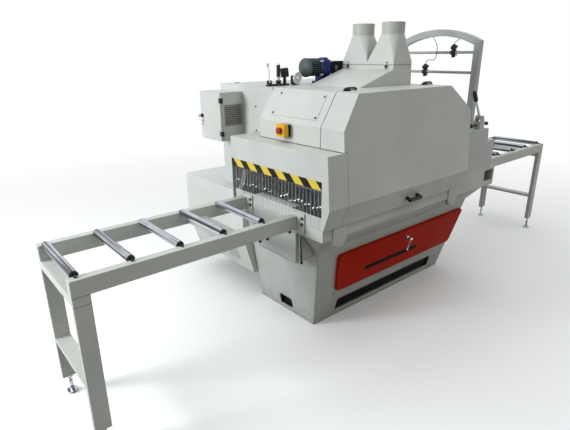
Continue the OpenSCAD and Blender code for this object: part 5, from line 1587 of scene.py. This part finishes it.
@dataclass
class DoorFittings:
    """Oval barrels of the door's top hinges, the stop button and the balls of the flap's lever."""

    hinge_xs: Pair = (-640.0, 80.0)
    hinge_y: float = -460.0
    hinge_z: float = 1528.0
    barrel_half: float = 52.0
    barrel_r: float = 12.0
    groove: float = 0.7
    stop: Triple = (-915.0, -190.0, 1303.0)
    lever_balls: tuple[Panel, ...] = ((26.0, -451.5, 487.3, 11.0), (26.0, -481.0, 480.3, 10.5))

    def barrel(self, x: float) -> Shape:
        """A hinge barrel: an oval radius along its length with shallow grooves of a cosine.

        Args:
            x: middle of the hinge.
        Returns:
            The shape.
        """
        u = np.linspace(-0.985, 0.985, 49)
        radius = self.barrel_r * np.sqrt(1 - np.abs(u) ** 3) + self.groove * np.cos(7 * math.pi * u)
        profile = np.stack([self.barrel_half * u, radius], 1)
        return revolved(profile, (x, self.hinge_y, self.hinge_z), (1, 0, 0), 24)

    def build(self, shop: Workshop) -> None:
        """Makes the barrels, the button and the balls.

        Args:
            shop: the workshop.
        """
        shop.place("hinge_barrels", [self.barrel(x) for x in self.hinge_xs], Finish.BLACK, Slot.BLACK)
        profile = [(-16, 9), (6, 9), (7, 16), (9, 19), (13, 19.4), (17, 18.4), (20, 15), (22, 9), (22.4, 3)]
        cap = revolved(profile, self.stop, (-1, 0, 0), 40)
        shop.place("stop_cap", cap, Finish.BUTTON, Slot.RED, "estop_button", ["estop_button"])
        collar = revolved([(0, 14), (1, 15), (4, 15), (5, 13)], self.stop, (-1, 0, 0), 32)
        shop.place("stop_collar", collar, Finish.BLACK, Slot.BLACK)
        balls = [ball(place, radius) for *place, radius in self.lever_balls]
        shop.place("flap_lever_balls", balls, Finish.STUD, Slot.CHROME, "panel_lever")


@dataclass
class BaseHollows:
    """Plates of painted shade in the unlit hollows behind the openings of the base and in the flap's slot."""

    lean: float = 13.22
    foot_y: float = -280.0
    tunnel: Panel = (-528.0, 564.0, 44.0, 138.0)
    tunnel_deep: Pair = (18.0, 22.0)
    slot: Panel = (-343.0, 249.0, 331.0, 367.0)
    slot_deep: Pair = (-22.9, -18.0)
    end_low: Triple = (-696.0, -78.0, 20.0)
    end_high: Triple = (-692.0, 50.0, 122.0)

    def on_side(self, low: Vec, high: Vec, corner: float) -> Shape:
        """A block on the leaning side of the base: x along the feed, y inward, z up the slope."""
        flat = block(low, high, corner, 0.5, Axis.Y)
        return flat.turned(self.lean, "X", (0, 0, 0)).moved((0, self.foot_y, 0))

    def build(self, shop: Workshop) -> None:
        """Makes the hollows and the lining.

        Args:
            Makes the plates of painted shade in the hollows and in the slot.
        """
        x0, x1, z0, z1 = self.tunnel
        y0, y1 = self.tunnel_deep
        side = self.on_side((x0, y0, z0), (x1, y1, z1), 4)
        end = block(self.end_low, self.end_high, 4, 0.5, Axis.X)
        # painted shade: near-black plates just inside the side opening and the end vent
        shop.place("base_hollows", [side, end], Finish.SHADE_BLACK, Slot.SHADE)
        x0, x1, z0, z1 = self.slot
        y0, y1 = self.slot_deep
        # painted shade: a near-black plate in the flap's slot
        slot_shade = self.on_side((x0, y0, z0), (x1, y1, z1), 3)
        shop.place("flap_slot_shade", slot_shade, Finish.SHADE_BLACK, Slot.BLACK, "red_panel")


@dataclass
class Tables:
    """Black axle caps and bearings at the ends of the table rollers and weld lines on the legs."""

    infeed: Pair = (-2146.0, 240.0)
    outfeed: Pair = (2210.0, -265.0)
    rollers: int = 5
    axis_z: float = 866.0
    ends: tuple[Pair, ...] = ((-381.5, 1.0), (97.5, -1.0))
    leg: float = 74.0
    leg_xs: Pair = (-2181.0, 2171.0)
    leg_ys: Pair = (-404.0, 120.0)
    weld_zs: Pair = (787.0, 745.0)
    weld_half: float = 1.2
    weld_proud: float = 0.3

    def build(self, shop: Workshop) -> None:
        """Makes the bearings and the weld lines.

        Args:
            shop: the workshop.
        """
        profile = [(0, 5), (0.5, 7), (22.4, 7), (22.7, 12), (23.2, 18), (29.0, 18), (29.5, 12)]
        xs = [first + step * i for first, step in (self.infeed, self.outfeed) for i in range(self.rollers)]
        rings = [revolved(profile, (x, y, self.axis_z), (0, way, 0), 20) for x in xs for y, way in self.ends]
        shop.place("roller_bearings", rings, Finish.BLACK, Slot.BLACK)
        out, half = self.weld_proud, self.weld_half
        welds = [block((x + 1, y - out, z - half), (x + self.leg - 1, y + out, z + half), 0.5, 0.2)
                 for x in self.leg_xs for y in self.leg_ys for z in self.weld_zs]
        shop.place("leg_welds", welds, Finish.SEAM, Slot.SHADE)


@dataclass
class RearCovers:
    """Screwed covers on the housings' far sides, with louvres over the main motor."""

    rear_y: float = 640.0
    rear: Panel = (-700.0, 266.0, 890.0, 1452.0)
    motor_y: float = 1050.0
    motor: Panel = (-640.0, 100.0, 330.0, 730.0)
    end_x: float = 330.0
    end: Panel = (130.0, 560.0, 900.0, 1440.0)
    slats: int = 9
    slat_long: float = 250.0
    slat_half: Pair = (1.2, 11.0)
    slat_lean: float = -16.0
    rim: float = 22.0
    proud: float = 2.0
    corner: float = 18.0
    screw_head: Pair = (7.0, 4.5)

    @staticmethod
    def spot(axis: Axis, level: float, a: float, z: float) -> Triple:
        """A point on a wall that faces X or Y: a along the wall, z up, at a level square to it."""
        return (level, a, z) if axis is Axis.X else (a, level, z)

    def cover(self, sheet: Panel, level: float, axis: Axis) -> Shape:
        """A sheet with rounded corners, a little proud of its wall.

        Args:
            sheet: low and high along the wall, low and high upward.
            level: the wall's place.
            axis: direction that the wall faces.
        Returns:
            The shape.
        """
        a0, a1, z0, z1 = sheet
        high = self.spot(axis, level + self.proud, a1, z1)
        return block(self.spot(axis, level, a0, z0), high, self.corner, 0.8, axis)

    def screws(self, sheet: Panel, level: float, axis: Axis) -> list[Shape]:
        """Screws along the upper and lower edges of a sheet.

        Args:
            sheet: low and high along the wall, low and high upward.
            level: the wall's place.
            axis: direction that the wall faces.
        Returns:
            The shapes.
        """
        a0, a1, z0, z1 = sheet
        along = np.linspace(a0 + self.rim, a1 - self.rim, 4)
        way = (1, 0, 0) if axis is Axis.X else (0, 1, 0)
        heights = (z0 + self.rim, z1 - self.rim)
        spots = [self.spot(axis, level + self.proud, a, z) for a in along for z in heights]
        return [socket_screw(spot, way, *self.screw_head) for spot in spots]

    def louvres(self) -> list[Shape]:
        """Two columns of hooded slats over the motor, each leaning out at its lower edge.

        Returns:
            The shapes.
        """
        a0, a1, z0, z1 = self.motor
        y = self.motor_y + 5.5
        heights = np.linspace(z0 + 90, z1 - 90, self.slats)
        places = [(a, z) for a in (a0 + 70, a1 - 320) for z in heights]
        long, (out, up) = self.slat_long, self.slat_half
        slats = [block((a, y - out, z - up), (a + long, y + out, z + up), 1, 0.8, Axis.X) for a, z in places]
        return [slat.turned(self.slat_lean, "X", (a, y, z)) for slat, (a, z) in zip(slats, places)]

    def build(self, shop: Workshop) -> None:
        """Makes the covers, their screws and the louvres.

        Args:
            shop: the workshop.
        """
        walls = ((self.rear, self.rear_y, Axis.Y), (self.motor, self.motor_y, Axis.Y),
                 (self.end, self.end_x, Axis.X))
        shop.place("rear_covers", [self.cover(*wall) for wall in walls], Finish.GREY, Slot.GREY)
        screws = [screw for wall in walls for screw in self.screws(*wall)]
        shop.place("rear_cover_screws", screws, Finish.BLACK, Slot.BLACK)
        shop.place("motor_louvres", self.louvres(), Finish.CASTING, Slot.SHADE)


PAINTED: dict[Finish, tuple[str, ...]] = {
    Finish.GREY: ("infeed_canopy", "front_hood", "access_cover", "side_door", "drive_housing", "main_column",
                  "electrical_cabinet", "cabinet_door", "dust_hood", "dust_ducts"),
    Finish.PALE: ("motor_housing",),
    Finish.CASTING: ("bed_casting",),
    # the pressure beam is painted near-black as the shade of the machine's interior
    Finish.INNER_SHADE: ("pressure_beam",),
    Finish.BASE: ("base_frame",),
    Finish.OUTFEED: ("outfeed_box",),
    # the arch takes the grey darkened as painted shade
    Finish.ARCH_SHADED: ("laser_arch",),
    Finish.RAIL: ("infeed_table", "outfeed_table", "table_brackets"),
    Finish.FLAP: ("red_panel",),
    Finish.BLUE: ("main_motor",),
    Finish.CHROME: ("leveling_feet", "panel_lever",
                    *(f"{side}_roller_{i}" for side in ("infeed", "outfeed") for i in range(1, 6))),
    # the kickback fingers are painted near-black as the shade of the mouth's interior
    Finish.SHADE_BLACK: ("kickback_fingers",),
    Finish.STEEL: ("saw_arbor", "saw_blades", "motor_pulley", "lower_feed_roller_1", "lower_feed_roller_2"),
    Finish.DARK_STEEL: ("upper_feed_roller_1", "upper_feed_roller_2"),
    Finish.BLACK: ("door_hinges", "door_handle", "duct_latches", "clamp_bar"),
    Finish.YELLOW: ("estop_box",),
    Finish.RUBBER: ("drive_belts",),
}


def main() -> None:
    """Builds the saw's looks in order."""
    logging.basicConfig(level=logging.INFO, format="%(name)s %(message)s")
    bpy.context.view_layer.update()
    shop = Workshop()
    studio = Studio()
    studio.camera()
    Leads().build(shop)
    studio.floor()
    studio.lights()
    studio.surround()

    for finish, nodes in PAINTED.items():
        shop.paint(finish, *nodes)
    lasers = LineLaser("upper", -285.0, 1712.0, 32.0), LineLaser("lower", -60.0, 1575.0, 32.0)
    for part in (Mouth(), FeedDrive(), Fixings(), Cabinet(), Controls(), HandLever(), Castings(), Ducts(),
                 DoorFittings(), BaseHollows(), Tables(), RearCovers(), *lasers):
        part.build(shop)


if __name__ == "__main__":
    main()
